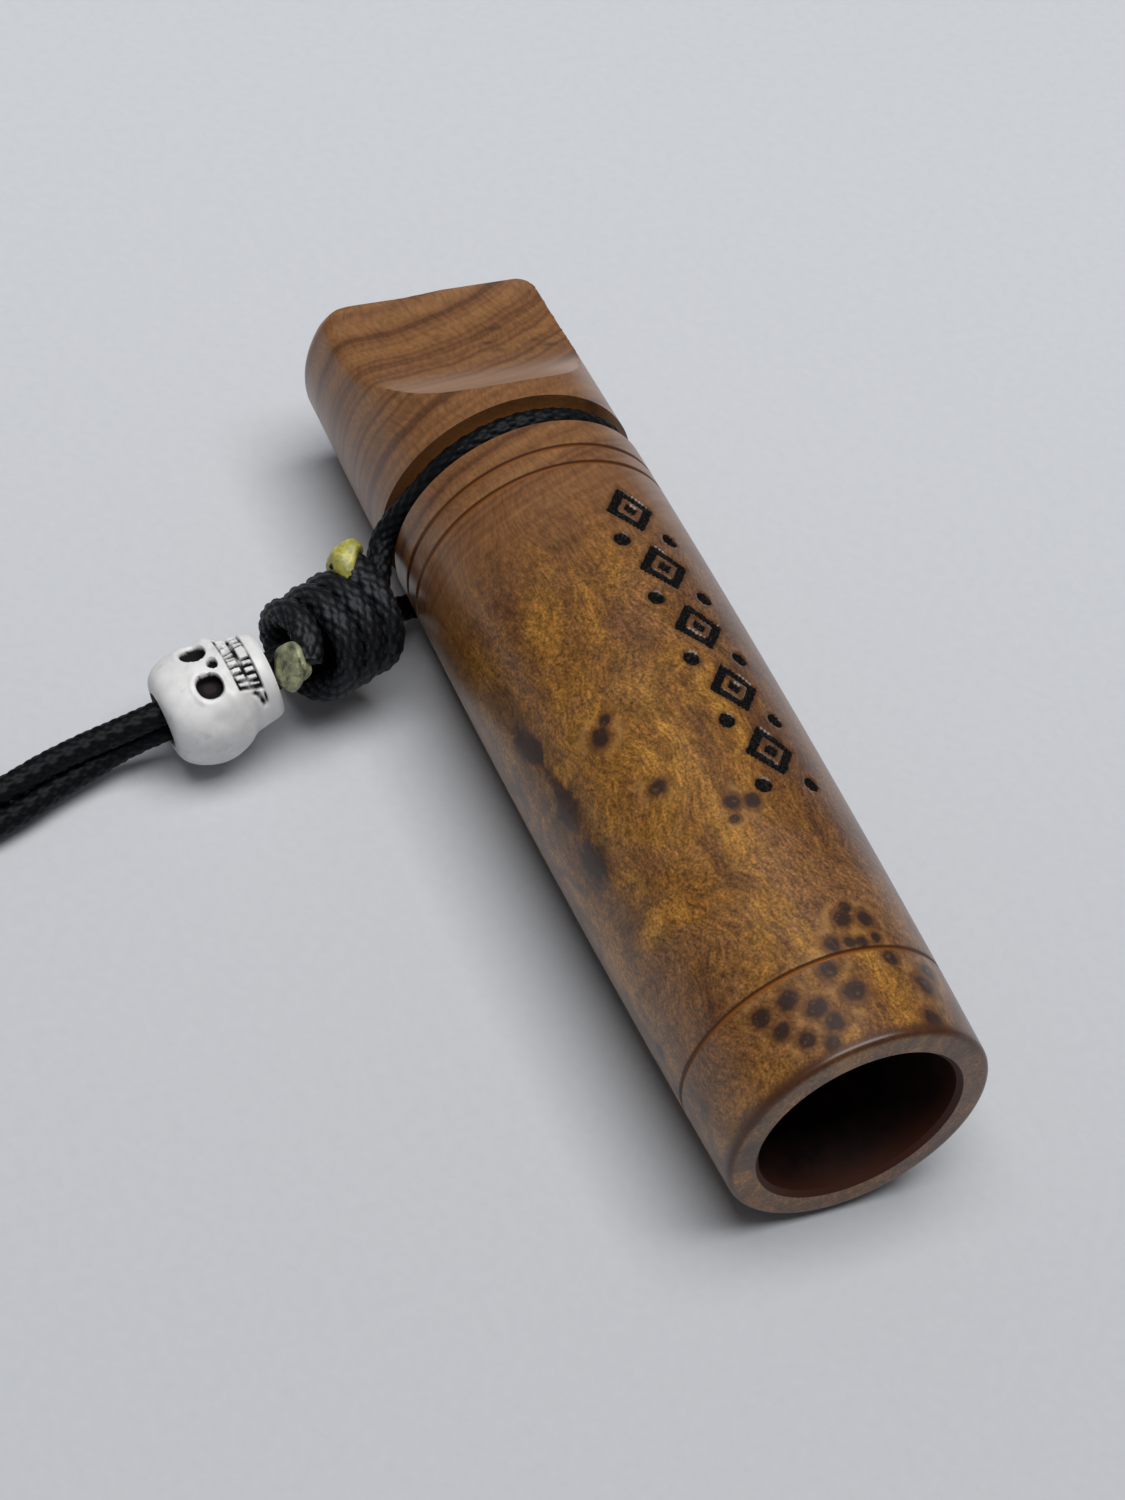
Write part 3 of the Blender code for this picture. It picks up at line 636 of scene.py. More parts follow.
# Melted cord ends: distance along and radius of each outline, and how far a skirt runs down, in millimetres
CAP = ((-0.45, 1.6), (-0.3, 1.88), (0.2, 1.98), (0.7, 1.7), (1.05, 1.1), (1.2, 0.6), (1.24, 0.05))
CAP_RUNS = 1.9
CAP_SHIFT = 0.2
DISC = (
    (-1.4, 1.15), (-0.65, 1.4), (-0.35, 1.95), (0.0, 2.15),
    (0.3, 2.05), (0.5, 1.5), (0.44, 0.8), (0.5, 0.05),
)
DISC_RUNS = 0.2
DISC_AT = np.array([-12.2, -26.9, 11.3])
DISC_FACES = np.array([0.121, -0.919, 0.377])
MELT_STEP = 0.12
MELT_SIDES = 40


def melt_material(name, pale, deep):
    g = Graph(name)
    cloud = g.noise(0.9, 3.0, 0.6)
    fleck = g.noise(3.5, 2.0, 0.6)
    tone = g.ramp(g.blend(cloud, 0.7, fleck, 0.3), (0.38, deep), (0.60, pale))
    return g.finish(Base_Color=tone, Roughness=0.34, Subsurface_Weight=0.25, Subsurface_Scale=0.8 * MM,
                    Subsurface_Radius=(0.6, 0.5, 0.2), Normal=g.bump(cloud, 0.5, 0.2 * MM))


def blob(name, at, way, outline, runs, mat):
    """Lumpy cap turned about way from its outline, with a skirt that runs down one side."""
    way = unit(way)
    side = unit(np.cross(way, UP))
    over = np.cross(side, way)
    angle = np.linspace(0.0, 2 * math.pi, MELT_SIDES, endpoint=False)
    fine = resample(np.array(outline) * MM, MELT_STEP * MM)
    along = fine[:, :1] + 0.0 * angle
    low, high = fine[:, 0].min(), fine[:, 0].max()
    share = np.clip((high - along) / (high - low), 0, 1) ** 2
    along = along - share * runs * MM * (0.5 + 0.5 * np.cos(angle - 2.9)) ** 2
    r = fine[:, 1:] * (1 + 0.06 * np.sin(2 * angle + 0.6) + 0.05 * np.sin(5 * angle + 1.9 + along / MM))
    ring = side * np.cos(angle)[None, :, None] + over * np.sin(angle)[None, :, None]
    data = grid_mesh(name, at + way * along[:, :, None] + ring * r[:, :, None])
    return piece(name, data, mat)


def melted_ends(wraps):
    yellow = melt_material("melted_yellow", (0.52, 0.47, 0.10), (0.24, 0.24, 0.06))
    olive = melt_material("melted_olive", (0.34, 0.35, 0.20), (0.070, 0.080, 0.052))
    end = wraps[-1] + KNOT_AXIS * CAP_SHIFT * MM
    upper = blob("melted_cap", end, wraps[-1] - wraps[-4], CAP, CAP_RUNS, yellow)
    lower = blob("melted_disc", DISC_AT * MM, DISC_FACES, DISC, DISC_RUNS, olive)
    ends = (
        (upper, "melted_end_upper", "melted_yellow"),
        (lower, "melted_end_lower", "melted_olive"),
    )
    for ob, node, name in ends:
        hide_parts(node)
        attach(ob, "call")


# Tie round the coil

def tie_material():
    g = Graph("tie_band")
    weave = g.node("ShaderNodeTexWave", bands_direction="Y")
    g.put(weave.inputs["Vector"], g.place)
    weave.inputs["Scale"].default_value = 0.7 / MM
    weave.inputs["Distortion"].default_value = 1.5
    threads = weave.outputs["Fac"]
    worn = g.math("MULTIPLY", threads, g.noise(4.0, 3.0, 0.6))
    tone = g.mix(worn, (0.010, 0.010, 0.011), (0.055, 0.055, 0.058))
    return g.finish(Base_Color=tone, Roughness=0.75, Sheen_Weight=0.2, Normal=g.bump(threads, 0.5, 0.1 * MM))


def tie_loop(half, corner):
    """Outer outline of the band, across and up from its middle."""
    loop = []
    for turn, side, rise in ((0, 1, 1), (1, -1, 1), (2, -1, -1), (3, 1, -1)):
        for k in range(TIE_STEPS + 1):
            a = math.pi / 2 * (turn + k / TIE_STEPS)
            across = side * (half[0] - corner) + corner * math.cos(a)
            loop.append((across, rise * (half[2] - corner) + corner * math.sin(a)))
    return np.array(loop)


def coil_tie():
    low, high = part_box("coil_tie")
    centre = np.array((low + high) / 2)
    half = np.array((high - low) / 2)
    loop = tie_loop(half, TIE_CORNER * half[2])
    out = loop - np.roll(loop, 1, 0)
    out = np.stack([out[:, 1], -out[:, 0]], 1)
    out = out / np.maximum(np.linalg.norm(out, axis=1), 1e-9)[:, None]
    edge = TIE_EDGE * TIE_THICK
    inner = TIE_THICK - edge
    section = (
        (-1, 0, edge), (-1, edge, 0), (1, edge, 0), (1, 0, edge),
        (1, 0, inner), (1, edge, TIE_THICK), (-1, edge, TIE_THICK), (-1, 0, inner),
    )
    points = np.zeros((len(loop), len(section), 3))
    for k, (side, inset, depth) in enumerate(section):
        flat = loop - out * depth
        points[:, k, 0] = centre[0] + flat[:, 0]
        points[:, k, 1] = centre[1] + side * (half[1] - inset)
        points[:, k, 2] = centre[2] + flat[:, 1]
    data = grid_mesh("coil_band", points, wrap_rows=True)
    tie = piece("coil_band", data, tie_material(), smooth_angle=40)
    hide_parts("coil_tie")
    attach(tie, "call")
    return tie


# Turned body

def run_points(start, end):
    count = max(1, int(math.ceil((end - start) / ROW_STEP)))
    return [(at, barrel_radius(at)) for at in np.linspace(start, end, count + 1)]


def line_points(at):
    r = barrel_radius(at)
    half = LINE_WIDTH / 2
    return [(at + half * along, r - LINE_DEPTH * deep) for along, deep in LINE_SHAPE]


def body_profile():
    """Closed outline as distance from the bell face and radius, and how many of its points are outside."""
    lip = barrel_radius(COVE_NEAR)
    half = (COVE_FAR - COVE_NEAR) / 2
    bell = barrel_radius(BELL_EDGE)
    points = [(0.0, r) for r in np.linspace(BORE_R + BORE_EDGE, bell - BELL_EDGE, 7)]
    for k in range(1, 7):
        a = math.pi / 2 * k / 6
        points.append((BELL_EDGE * (1 - math.cos(a)), bell - BELL_EDGE * (1 - math.sin(a))))
    start = BELL_EDGE
    for at in (BELL_LINE_AT, *LINES_AT):
        points += run_points(start, at - LINE_WIDTH / 2)[1:-1]
        points += line_points(at)
        start = at + LINE_WIDTH / 2
    points += run_points(start, COVE_NEAR)[1:-1]
    for k in range(25):
        a = math.pi * k / 24
        c = math.copysign(abs(math.cos(a)) ** COVE_POWER, math.cos(a))
        points.append((COVE_NEAR + half - half * c, lip - COVE_DEPTH * math.sin(a) ** COVE_POWER))
    points += run_points(COVE_FAR, LENGTH - TIP_ROUND)[1:]
    tip = barrel_radius(LENGTH - TIP_ROUND)
    for k in range(1, 13):
        a = math.pi / 2 * k / 12
        points.append((LENGTH - TIP_ROUND * (1 - math.sin(a)), tip - TIP_ROUND * (1 - math.cos(a))))
    points += [(LENGTH, r) for r in np.linspace(tip - TIP_ROUND, MOUTH_HOLE_R + GAP, 15)[1:]]
    outside = len(points)
    points.append((LENGTH - GAP, MOUTH_HOLE_R))
    inner = (
        (SHOULDER_AT + SHOULDER_TAPER, MOUTH_HOLE_R),
        (SHOULDER_AT, INSERT_BORE_R),
        (BORE_DEPTH + BORE_TAPER, INSERT_BORE_R),
        (BORE_DEPTH, BORE_R),
        (BORE_EDGE, BORE_R),
    )
    for at, r in inner:
        last_at, last_r = points[-1]
        count = max(1, int(abs(at - last_at) / BORE_STEP))
        for k in range(1, count + 1):
            points.append((last_at + (at - last_at) * k / count, last_r + (r - last_r) * k / count))
    return np.array(points), outside


def lip_height(x):
    """Height of the lip scoop above the axis at a place along the call."""
    drop = barrel_radius(SCOOP_AT) - SCOOP_FLOOR
    radius = (SCOOP_RUN**2 + drop**2) / (2 * drop)
    middle = LENGTH / 2 - SCOOP_AT - SCOOP_RUN
    return SCOOP_FLOOR + radius - math.sqrt(max(radius**2 - (x - middle) ** 2, 0.0))


def over_lip(co, side):
    return side * (co.z - AXIS_Z) - lip_height(co.x)


def lowered(co):
    reach = lip_height(co.x) / abs(co.z - AXIS_Z)
    return Vector((co.x, co.y * reach, AXIS_Z + (co.z - AXIS_Z) * reach))


def rim_share(start, end, side):
    """Share of the way from start to end at which the scoop is met."""
    low, high = 0.0, 1.0
    first = over_lip(start, side)
    for _ in range(24):
        half = (low + high) / 2
        if over_lip(start.lerp(end, half), side) * first > 0:
            low = half
        else:
            high = half
    return low


def cut_scoop(bm, side):
    """Split the skin where it meets one scoop, then lower all that stands above the scoop onto it."""
    above = {}
    for v in bm.verts:
        if v.co.x < SCOOP_END and side * (v.co.z - AXIS_Z) > SCOOP_LOWEST:
            above[v] = over_lip(v.co, side)
            if abs(above[v]) < SCOOP_SNAP:
                v.co = lowered(v.co)
                above[v] = 0.0
    for e in [e for e in bm.edges if e.verts[0] in above and e.verts[1] in above]:
        a, b = e.verts
        if above[a] * above[b] < 0:
            share = rim_share(a.co.copy(), b.co.copy(), side)
            above[bmesh.utils.edge_split(e, a, share)[1]] = 0.0
    for f in list(bm.faces):
        heights = [above[v] for v in f.verts if v in above]
        if heights and min(heights) < 0 < max(heights):
            rim = [v for v in f.verts if above.get(v) == 0.0]
            if len(rim) == 2 and not bm.edges.get(rim):
                bmesh.utils.face_split(f, rim[0], rim[1])
    for v, height in above.items():
        if height > 0:
            v.co = lowered(v.co)
    return [v.co.copy() for v, height in above.items() if height == 0.0]


def sand(bm, rims):
    """Round the scoops' rims towards the tip, on the lanyard's side."""
    tree = KDTree(len(rims))
    for k, co in enumerate(rims):
        tree.insert(co, k)
    tree.balance()
    soft = []
    for v in bm.verts:
        if v.co.x < SAND_FROM:
            share = ease(SAND_REACH, 0.3 * SAND_REACH, tree.find(v.co)[2])
            share = share * ease(SAND_FROM, SAND_FULL, v.co.x) * ease(SAND_REACH, -2 * SAND_REACH, v.co.y)
            if share > 0:
                soft.append((v, SAND_SHARE * float(share)))
    for _ in range(SAND_PASSES):
        moved = []
        for v, share in soft:
            mean = sum((e.other_vert(v).co for e in v.link_edges), Vector()) / len(v.link_edges)
            moved.append(v.co.lerp(mean, share))
        for (v, share), co in zip(soft, moved):
            v.co = co


# Burnt ornament: a chain of lozenges and dots along the barrel, in millimetres
ORNAMENT_DEGREES = 16.0
ORNAMENT_FROM = -11.0
ORNAMENT_STEP = 7.4
ORNAMENT_COUNT = 5
LOZENGE_HALF = (2.9, 2.6)
LOZENGE_LINE = (0.55, 0.30)
DOT_R = 0.8
DOT_SIDE = 2.6
BURN_DEPTH = 0.28
BURN_SKIN = 11.0
UNBURNT = -9.0


def turned(angle, degrees):
    """Angle from a direction, from -180 to 180 degrees."""
    return (angle - degrees + 180) % 360 - 180


def burnt(x, degrees):
    """Distance in mm inside the ornament, negative outside it."""
    y = turned(degrees, ORNAMENT_DEGREES) * math.pi / 180 * BARREL_R / MM
    slope = LOZENGE_HALF[0] * LOZENGE_HALF[1] / math.hypot(*LOZENGE_HALF)
    best = np.full(np.broadcast(x, y).shape, UNBURNT)
    for k in range(ORNAMENT_COUNT):
        at = ORNAMENT_FROM + ORNAMENT_STEP * k
        level = np.abs(x - at) / LOZENGE_HALF[0] + np.abs(y) / LOZENGE_HALF[1]
        shape = np.minimum(1 - level, np.maximum(level - LOZENGE_LINE[0], LOZENGE_LINE[1] - level))
        best = np.maximum(best, shape * slope)
        for side in (-1, 1):
            best = np.maximum(best, DOT_R - np.hypot(x - at - ORNAMENT_STEP / 2, y - side * DOT_SIDE))
    return best


# Marks of the burl, in millimetres along the call and degrees round it from the top
# Eyes have a radius, streaks two half sizes and a darkness, flecks a place and half size across the call
EYES = (
    (35.9, 9.5, 0.55), (37.0, 5.5, 0.85), (37.2, 16.1, 0.8), (39.2, 15.8, 0.6), (39.5, 8.7, 0.55),
    (39.3, 3.3, 0.6), (39.1, -3.6, 0.75), (42.3, -42.0, 0.85), (42.2, -29.9, 0.95), (44.3, -37.2, 0.85),
    (44.1, -21.4, 0.95), (45.9, -17.7, 0.9), (46.2, -30.4, 0.75), (47.4, -22.4, 0.8), (43.9, -4.9, 1.05),
    (41.3, -10.1, 0.9), (41.3, 17.5, 0.75), (44.0, 28.6, 1.0), (42.4, 36.2, 0.9), (47.6, 22.5, 1.0),
    (11.3, -43.5, 0.95), (10.1, -38.4, 0.6), (18.7, -33.1, 0.8), (23.2, -10.8, 0.75), (23.6, -3.5, 0.8),
    (24.8, -13.3, 0.45),
)
HIDDEN_CLUSTERS = ((30.0, 120.0), (8.0, 150.0), (38.0, -120.0), (-6.0, 100.0), (22.0, 180.0), (44.0, 95.0))
CLUSTER_EYES = 8
CLUSTER_SPREAD = (2.6, 11.0)
LAST_EYE = 47.5
EYE_ROUND = 12.4
EYE_SKIN = 9.3
NO_EYE = 4.0
STREAKS = (
    (7.4, -72.0, 2.2, 1.6, 1.0), (4.6, -76.0, 1.8, 1.0, 0.7), (13.9, -71.0, 2.6, 1.6, 1.0),
    (19.8, -71.2, 2.4, 1.7, 1.0), (11.0, -77.0, 10.0, 2.6, 0.42), (26.0, -76.0, 6.0, 2.2, 0.34),
    (-2.0, -78.0, 5.0, 2.0, 0.3),
)
STREAK_ROUND = 12.6
FLECKS = ((-43.1, 4.7, 1.4), (-41.0, 3.2, 1.0), (-40.3, 7.1, 1.3), (-39.0, 8.6, 0.9), (-39.5, 3.6, 0.8))


def hidden_eyes():
    """Clusters of eyes on the sides that the camera doesn't see."""
    rng = np.random.default_rng(7)
    eyes = []
    for x, degrees in HIDDEN_CLUSTERS:
        for _ in range(CLUSTER_EYES):
            dx, da = rng.normal(0.0, CLUSTER_SPREAD)
            eyes.append((min(x + dx, LAST_EYE), degrees + da, rng.uniform(0.5, 1.0)))
    return tuple(eyes)


def paint_marks(data, x, y, z):
    """Nearness to burl eyes, dark streaks and burnt ornament, from places in millimetres round the axis."""
    angle = np.degrees(np.arctan2(y, z))
    r = np.hypot(y, z)
    near = np.full(len(x), NO_EYE)
    for at, degrees, size in EYES + hidden_eyes():
        across = np.radians(turned(angle, degrees)) * EYE_ROUND
        near = np.minimum(near, np.hypot(x - at, across) / size)
    paint(data, "eye", np.where(r > EYE_SKIN, near, NO_EYE))
    streak = np.zeros(len(x))
    for at, degrees, long, wide, dark in STREAKS:
        across = np.radians(turned(angle, degrees)) * STREAK_ROUND
        streak += dark * np.exp(-((x - at) / long) ** 2 - (across / wide) ** 2)
    for at, side, size in FLECKS:
        streak += 0.6 * np.exp(-((x - at) / 0.45) ** 2 - ((y - side) / size) ** 2) * (z > 4)
    paint(data, "streak", np.clip(streak, 0, 1.3))
    paint(data, "char", np.where(r > BURN_SKIN, burnt(x, angle), UNBURNT))


def paint_turning(data, x, y, z):
    """Turned lines, cove, scooped slopes and the bell's rim, from places in millimetres round the axis."""
    r = np.hypot(y, z)
    from_bell = LENGTH / 2 - x * MM
    places = np.linspace(0, LENGTH, 600)
    skin = np.interp(from_bell, places, [barrel_radius(at) for at in places]) / MM
    sunk = skin - r
    line = np.zeros(len(x))
    for at in (BELL_LINE_AT, *LINES_AT):
        line = np.maximum(line, (np.abs(from_bell - at) < LINE_WIDTH * 0.55) * sunk / (LINE_DEPTH / MM))
    paint(data, "line", np.clip(line, 0, 1))
    cove = (from_bell > COVE_NEAR) & (from_bell < COVE_FAR)
    paint(data, "cove", np.clip(cove * sunk / 2.0, 0, 1))
    deep = ease(1.2, 3.4, np.abs(z) - SCOOP_FLOOR / MM) * ease(0.06, 0.20, sunk)
    paint(data, "slope", deep * (x < SCOOP_END / MM - 2) * (from_bell > SCOOP_AT - 1.0 * MM))
    paint(data, "rim", ease(1.5, 0.5, from_bell / MM) * ease(BELL_R / MM - 0.9, BELL_R / MM - 0.5, r))


def paint_wood(data):
    x, y, z = ((points_of(data) - (0.0, 0.0, AXIS_Z)) / MM).T
    paint_marks(data, x, y, z)
    paint_turning(data, x, y, z)


def burl(g, y, flow, drift, fibre):
    """Golden burl with dark, mauve and rosy clouds, swirls and fine grain, and painted shade towards mauve on
    its +Y side.
    """
    cloud = g.noise(0.075, 2.0, 0.5, 0.0, g.stretched(0.7, 1.2, 1.2, flow))
    wisp = g.noise(0.30, 3.0, 0.55, 0.0, g.stretched(0.35, 1.3, 1.3, drift))
    shade = g.blend(cloud, 0.42, wisp, 0.58)
    wood = g.ramp(shade, (0.35, (0.082, 0.028, 0.0075)), (0.45, (0.165, 0.066, 0.012)),
                  (0.55, (0.245, 0.106, 0.016)), (0.67, (0.345, 0.160, 0.026)))
    mauve = g.noise(0.062, 3.0, 0.55, 0.6, g.stretched(0.8, 1.1, 1.1, flow))
    # Painted shade: the +Y side is darkened towards mauve; the mauve clouds are the wood's own
    mauve_and_side_shade = g.math("MAXIMUM", g.span(mauve, 0.48, 0.68, 0.0, 0.66), g.span(y, 1.0 * MM, 8.5 * MM, 0.0, 0.7))
    wood = g.mix(mauve_and_side_shade, wood, (0.092, 0.038, 0.019))
    swirl = g.math("SINE", g.math("MULTIPLY", g.noise(0.085, 2.0, 0.45, 0.0, flow), 46.0))
    swirl = g.ramp(g.span(swirl, -1.0, 1.0), (0.0, 0.64), (0.5, 1.0), (1.0, 1.16))
    swirled = g.mix(1.0, wood, swirl, "MULTIPLY")
    wood = g.mix(g.span(g.noise(0.06, 1.0), 0.36, 0.58, 0.25, 1.0), wood, swirled)
    rose = g.noise(0.11, 3.0, 0.6, 0.4, g.stretched(0.8, 1.2, 1.2, drift))
    wood = g.mix(g.span(rose, 0.45, 0.63, 0.0, 0.66), wood, (0.185, 0.083, 0.032))
    wood = g.mix(1.0, wood, g.ramp(fibre, (0.28, 0.50), (0.50, 0.97), (0.72, 1.50)), "MULTIPLY")
    return g.mix(1.0, wood, g.ramp(g.noise(4.2, 1.0, 0.5), (0.28, 0.58), (0.72, 1.42)), "MULTIPLY")


def ringed(g, x, y, fibre):
    """Plain wood of the mouthpiece, with bowed year rings."""
    bow = g.math("ADD", g.math("MULTIPLY", y, 0.33), g.math("MULTIPLY", g.math("MULTIPLY", y, y), 14.0))
    ring = g.math("ADD", g.math("ADD", x, bow), g.math("MULTIPLY", g.noise(0.16, 2.0), 1.5 * MM))
    rings = g.node("ShaderNodeTexNoise", noise_dimensions="1D")
    g.put(rings.inputs["W"], g.math("MULTIPLY", ring, 1.0 / MM))
    rings.inputs["Scale"].default_value = 0.5
    rings.inputs["Detail"].default_value = 2.0
    rings.inputs["Roughness"].default_value = 0.6
    plain = g.ramp(rings.outputs["Fac"], (0.33, (0.108, 0.043, 0.016)), (0.44, (0.174, 0.073, 0.027)),
                   (0.62, (0.232, 0.106, 0.038)))
    return g.mix(0.8, plain, g.ramp(fibre, (0.30, 0.70), (0.70, 1.28)), "MULTIPLY")


def marked(g, wood):
    """The wood with its dark streaks, and its eyes in their pale webs."""
    patch = g.noise(0.6, 3.0, 0.6, 0.4, g.stretched(0.55, 1.0, 1.0))
    streak = g.math("MULTIPLY", g.attribute("streak"), g.span(patch, 0.22, 0.66))
    wood = g.mix(g.span(streak, 0.0, 0.85, 0.0, 0.9), wood, (0.019, 0.009, 0.009))
    eye = g.ragged(g.attribute("eye"), g.noise(0.9, 3.0, 0.6), 1.1)
    web = g.math("MULTIPLY", g.span(eye, 2.9, 1.9), g.span(eye, 1.3, 1.7, 0.0, 0.5))
    web = g.math("MULTIPLY", web, g.span(g.noise(0.45, 2.0, 0.6), 0.44, 0.62))
    wood = g.mix(web, wood, (0.340, 0.175, 0.052))
    wood = g.mix(g.span(eye, 1.9, 1.0, 0.0, 0.7), wood, (0.105, 0.040, 0.011))
    wood = g.mix(g.span(eye, 1.2, 0.66, 0.0, 0.94), wood, (0.024, 0.010, 0.007))
    speck = g.math("MULTIPLY", g.span(eye, 0.9, 0.3), g.span(g.noise(1.7, 2.0), 0.54, 0.66, 0.0, 0.4))
    return g.mix(speck, wood, (0.17, 0.085, 0.035))


def worked(g, wood):
    """The wood with the tones of its cove, scooped slopes, bell rim and turned lines, some of them painted
    light, shade and reflection.
    """
    for name, share, tone in (
        # Cove: its warmer brown, brightened as painted light on its wall
        ("cove", 0.8, (0.250, 0.088, 0.018)),
        # Slope: paler end grain on the scoops' steep ends, with a painted reflection of the floor
        ("slope", 0.6, (0.430, 0.275, 0.190)),
        ("rim", 0.9, (0.052, 0.015, 0.005)),
    ):
        wood = g.mix(g.math("MULTIPLY", g.attribute(name), share), wood, tone)
    line = g.attribute("line")
    # Line: dark walls in the turned grooves as painted shade, then a brighter orange floor as painted light
    wood = g.mix(g.span(line, 0.02, 0.25, 0.0, 0.9), wood, (0.050, 0.018, 0.006))
    return g.mix(g.span(line, 0.45, 0.85, 0.0, 0.85), wood, (0.30, 0.10, 0.016))


def wood_material():
    g = Graph("burl_wood")
    x, y = g.axes()[:2]
    flow = g.warped(0.05, 11.0 * MM)
    drift = g.warped(0.16, 4.0 * MM, flow)
    fibre = g.noise(2.4, 2.0, 0.65, 0.0, g.stretched(0.4, 1.0, 1.0, drift))
    straight = g.span(x, -3.0 * MM, -17.0 * MM)
    wood = g.mix(straight, burl(g, y, flow, drift, fibre), ringed(g, x, y, fibre))
    wood = worked(g, marked(g, wood))
    burn = g.ragged(g.attribute("char"), g.noise(1.6, 2.0, 0.6), 0.34)
    wood = g.mix(g.span(burn, -0.5, -0.02, 0.0, 0.55), wood, (0.052, 0.018, 0.005))
    ash = g.noise(4.5, 2.0, 0.7)
    black = g.span(burn, -0.06, 0.07)
    soot = g.ramp(ash, (0.52, (0.0030, 0.0027, 0.0027)), (0.74, (0.034, 0.029, 0.026)))
    wood = g.mix(black, wood, soot)
    height = g.math("ADD", g.math("MULTIPLY", fibre, 0.5), g.noise(0.25, 2.0))
    height = g.math("ADD", height, g.math("MULTIPLY", g.math("MULTIPLY", black, ash), 6.0))
    rough = g.math("ADD", g.ramp(fibre, (0.3, 0.36), (0.7, 0.46)), g.math("MULTIPLY", black, 0.4))
    shine = g.math("SUBTRACT", 0.18, g.math("MULTIPLY", black, 0.12))
    coat = g.math("SUBTRACT", 0.62, g.math("MULTIPLY", black, 0.60))
    return g.finish(Base_Color=wood, Roughness=rough, Specular_IOR_Level=shine, Coat_Weight=coat,
                    Coat_Roughness=0.27, Normal=g.bump(height, 0.06, 0.12 * MM))


def bore_material():
    g = Graph("bore_wood")
    tone = g.ramp(g.noise(0.5, 3.0), (0.3, (0.010, 0.006, 0.006)), (0.7, (0.030, 0.013, 0.009)))
    tone = g.mix(g.span(g.axes()[0], 46.0 * MM, 49.0 * MM), tone, (0.050, 0.015, 0.009))
    return g.finish(Base_Color=tone, Roughness=0.5, Specular_IOR_Level=0.18)


def call_wood():
    profile, outside = body_profile()
    a = np.linspace(0.0, 2 * math.pi, TURN_STEPS, endpoint=False)[None]
    at, r = profile[:, :1], profile[:, 1:]
    x = LENGTH / 2 - at + 0 * a
    skin = (np.arange(len(profile)) < outside)[:, None]
    r = r - skin * BURN_DEPTH * MM * ease(0.0, 0.22, burnt(x / MM, np.degrees(a)))
    data = grid_mesh("call_wood", np.stack([x, r * np.sin(a), AXIS_Z + r * np.cos(a)], -1), wrap_rows=True)
    bm = bmesh.new()
    bm.from_mesh(data)
    for face in bm.faces:
        face.material_index = int(face.index >= (outside - 1) * TURN_STEPS)
    rims = []
    for side in (1, -1):
        rims += cut_scoop(bm, side)
    scooped = [v for v in bm.verts if v.co.x < SCOOP_END]
    bmesh.ops.remove_doubles(bm, verts=scooped, dist=SCOOP_WELD)
    sand(bm, rims)
    bm.to_mesh(data)
    bm.free()
    paint_wood(data)
    body = piece("call_wood", data, wood_material(), bore_material(), smooth_angle=32)
    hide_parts("call_body")
    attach(body, "call")


# Skull bead: distance from the crown, half width, depth to the face, depth to the back, all in millimetres
SKULL = (
    (0.0, 2.75, 2.75, 2.75),
    (0.12, 3.35, 3.3, 3.4),
    (0.38, 3.85, 3.8, 3.9),
    (0.85, 4.3, 4.2, 4.4),
    (1.6, 4.75, 4.5, 4.9),
    (2.7, 5.1, 4.75, 5.4),
    (3.9, 5.3, 4.75, 5.65),
    (5.1, 5.25, 4.6, 5.6),
    (6.2, 5.0, 4.55, 5.2),
    (7.1, 4.7, 4.55, 4.7),
    (8.0, 4.25, 4.5, 4.3),
    (9.1, 3.95, 4.4, 4.05),
    (10.3, 3.75, 4.15, 3.8),
    (10.8, 3.45, 3.8, 3.5),
)
SKULL_ENDS = (0.0, 0.3, 10.3, 10.8)
SKULL_ROUND = 2.3
BEAD_SHORT = 0.95
SOCKET_AT = (2.15, 4.8)
SOCKET_HALF = (1.25, 1.28)
SOCKET_DEPTH = 1.25
NOSE_AT = 5.95
NOSE_HALF = (0.6, 0.52)
NOSE_DEPTH = 0.8
BROW_RISE = 0.07
MOUTH_ROWS = ((7.25, 8.15), (8.42, 9.3))
MOUTH_HALF = 3.4
MOUTH_DEPTH = 0.46
CORNER_DEPTH = 0.22
TOOTH_RISE = 0.44
TOOTH_EDGES = ((0.0, 0.42, 1.24, 2.0, 2.68, 3.22), (0.06, 0.80, 1.52, 2.24, 2.82, 3.22))
TOOTH_GAP = 0.19
SOCKET_POWER = 2.3
SEAM_AT = -1.9
SEAM_HALF = 0.07
SEAM_RISE = 0.07
SKULL_SIDES = 240
# Soft hollows and grey patches: depth or darkness, place sideways, distance from the crown, two half sizes
FACE_HOLLOWS = ((-0.16, 0.0, 4.3, 0.8, 0.8), (-0.34, 3.7, 6.5, 0.8, 0.7), (0.26, 2.2, 6.75, 0.8, 0.45))
SIDE_HOLLOWS = ((0.26, 4.9, 4.6, 0.5, 1.3), (0.36, 4.1, 7.9, 0.7, 0.55))
FACE_GREY_PATCHES = ((0.18, 1.0, 6.7, 1.4, 0.3), (0.24, 1.6, 9.0, 2.2, 0.45))
SIDE_GREY_PATCHES = ((0.16, 4.7, 4.9, 0.5, 0.9), (0.2, 4.1, 7.7, 0.5, 0.35))
MOUTH_CORNERS = ((1.0, 3.62, 8.55, 0.16, 0.42), (1.0, 3.88, 8.95, 0.15, 0.30), (1.0, 3.7, 9.35, 0.2, 0.13))


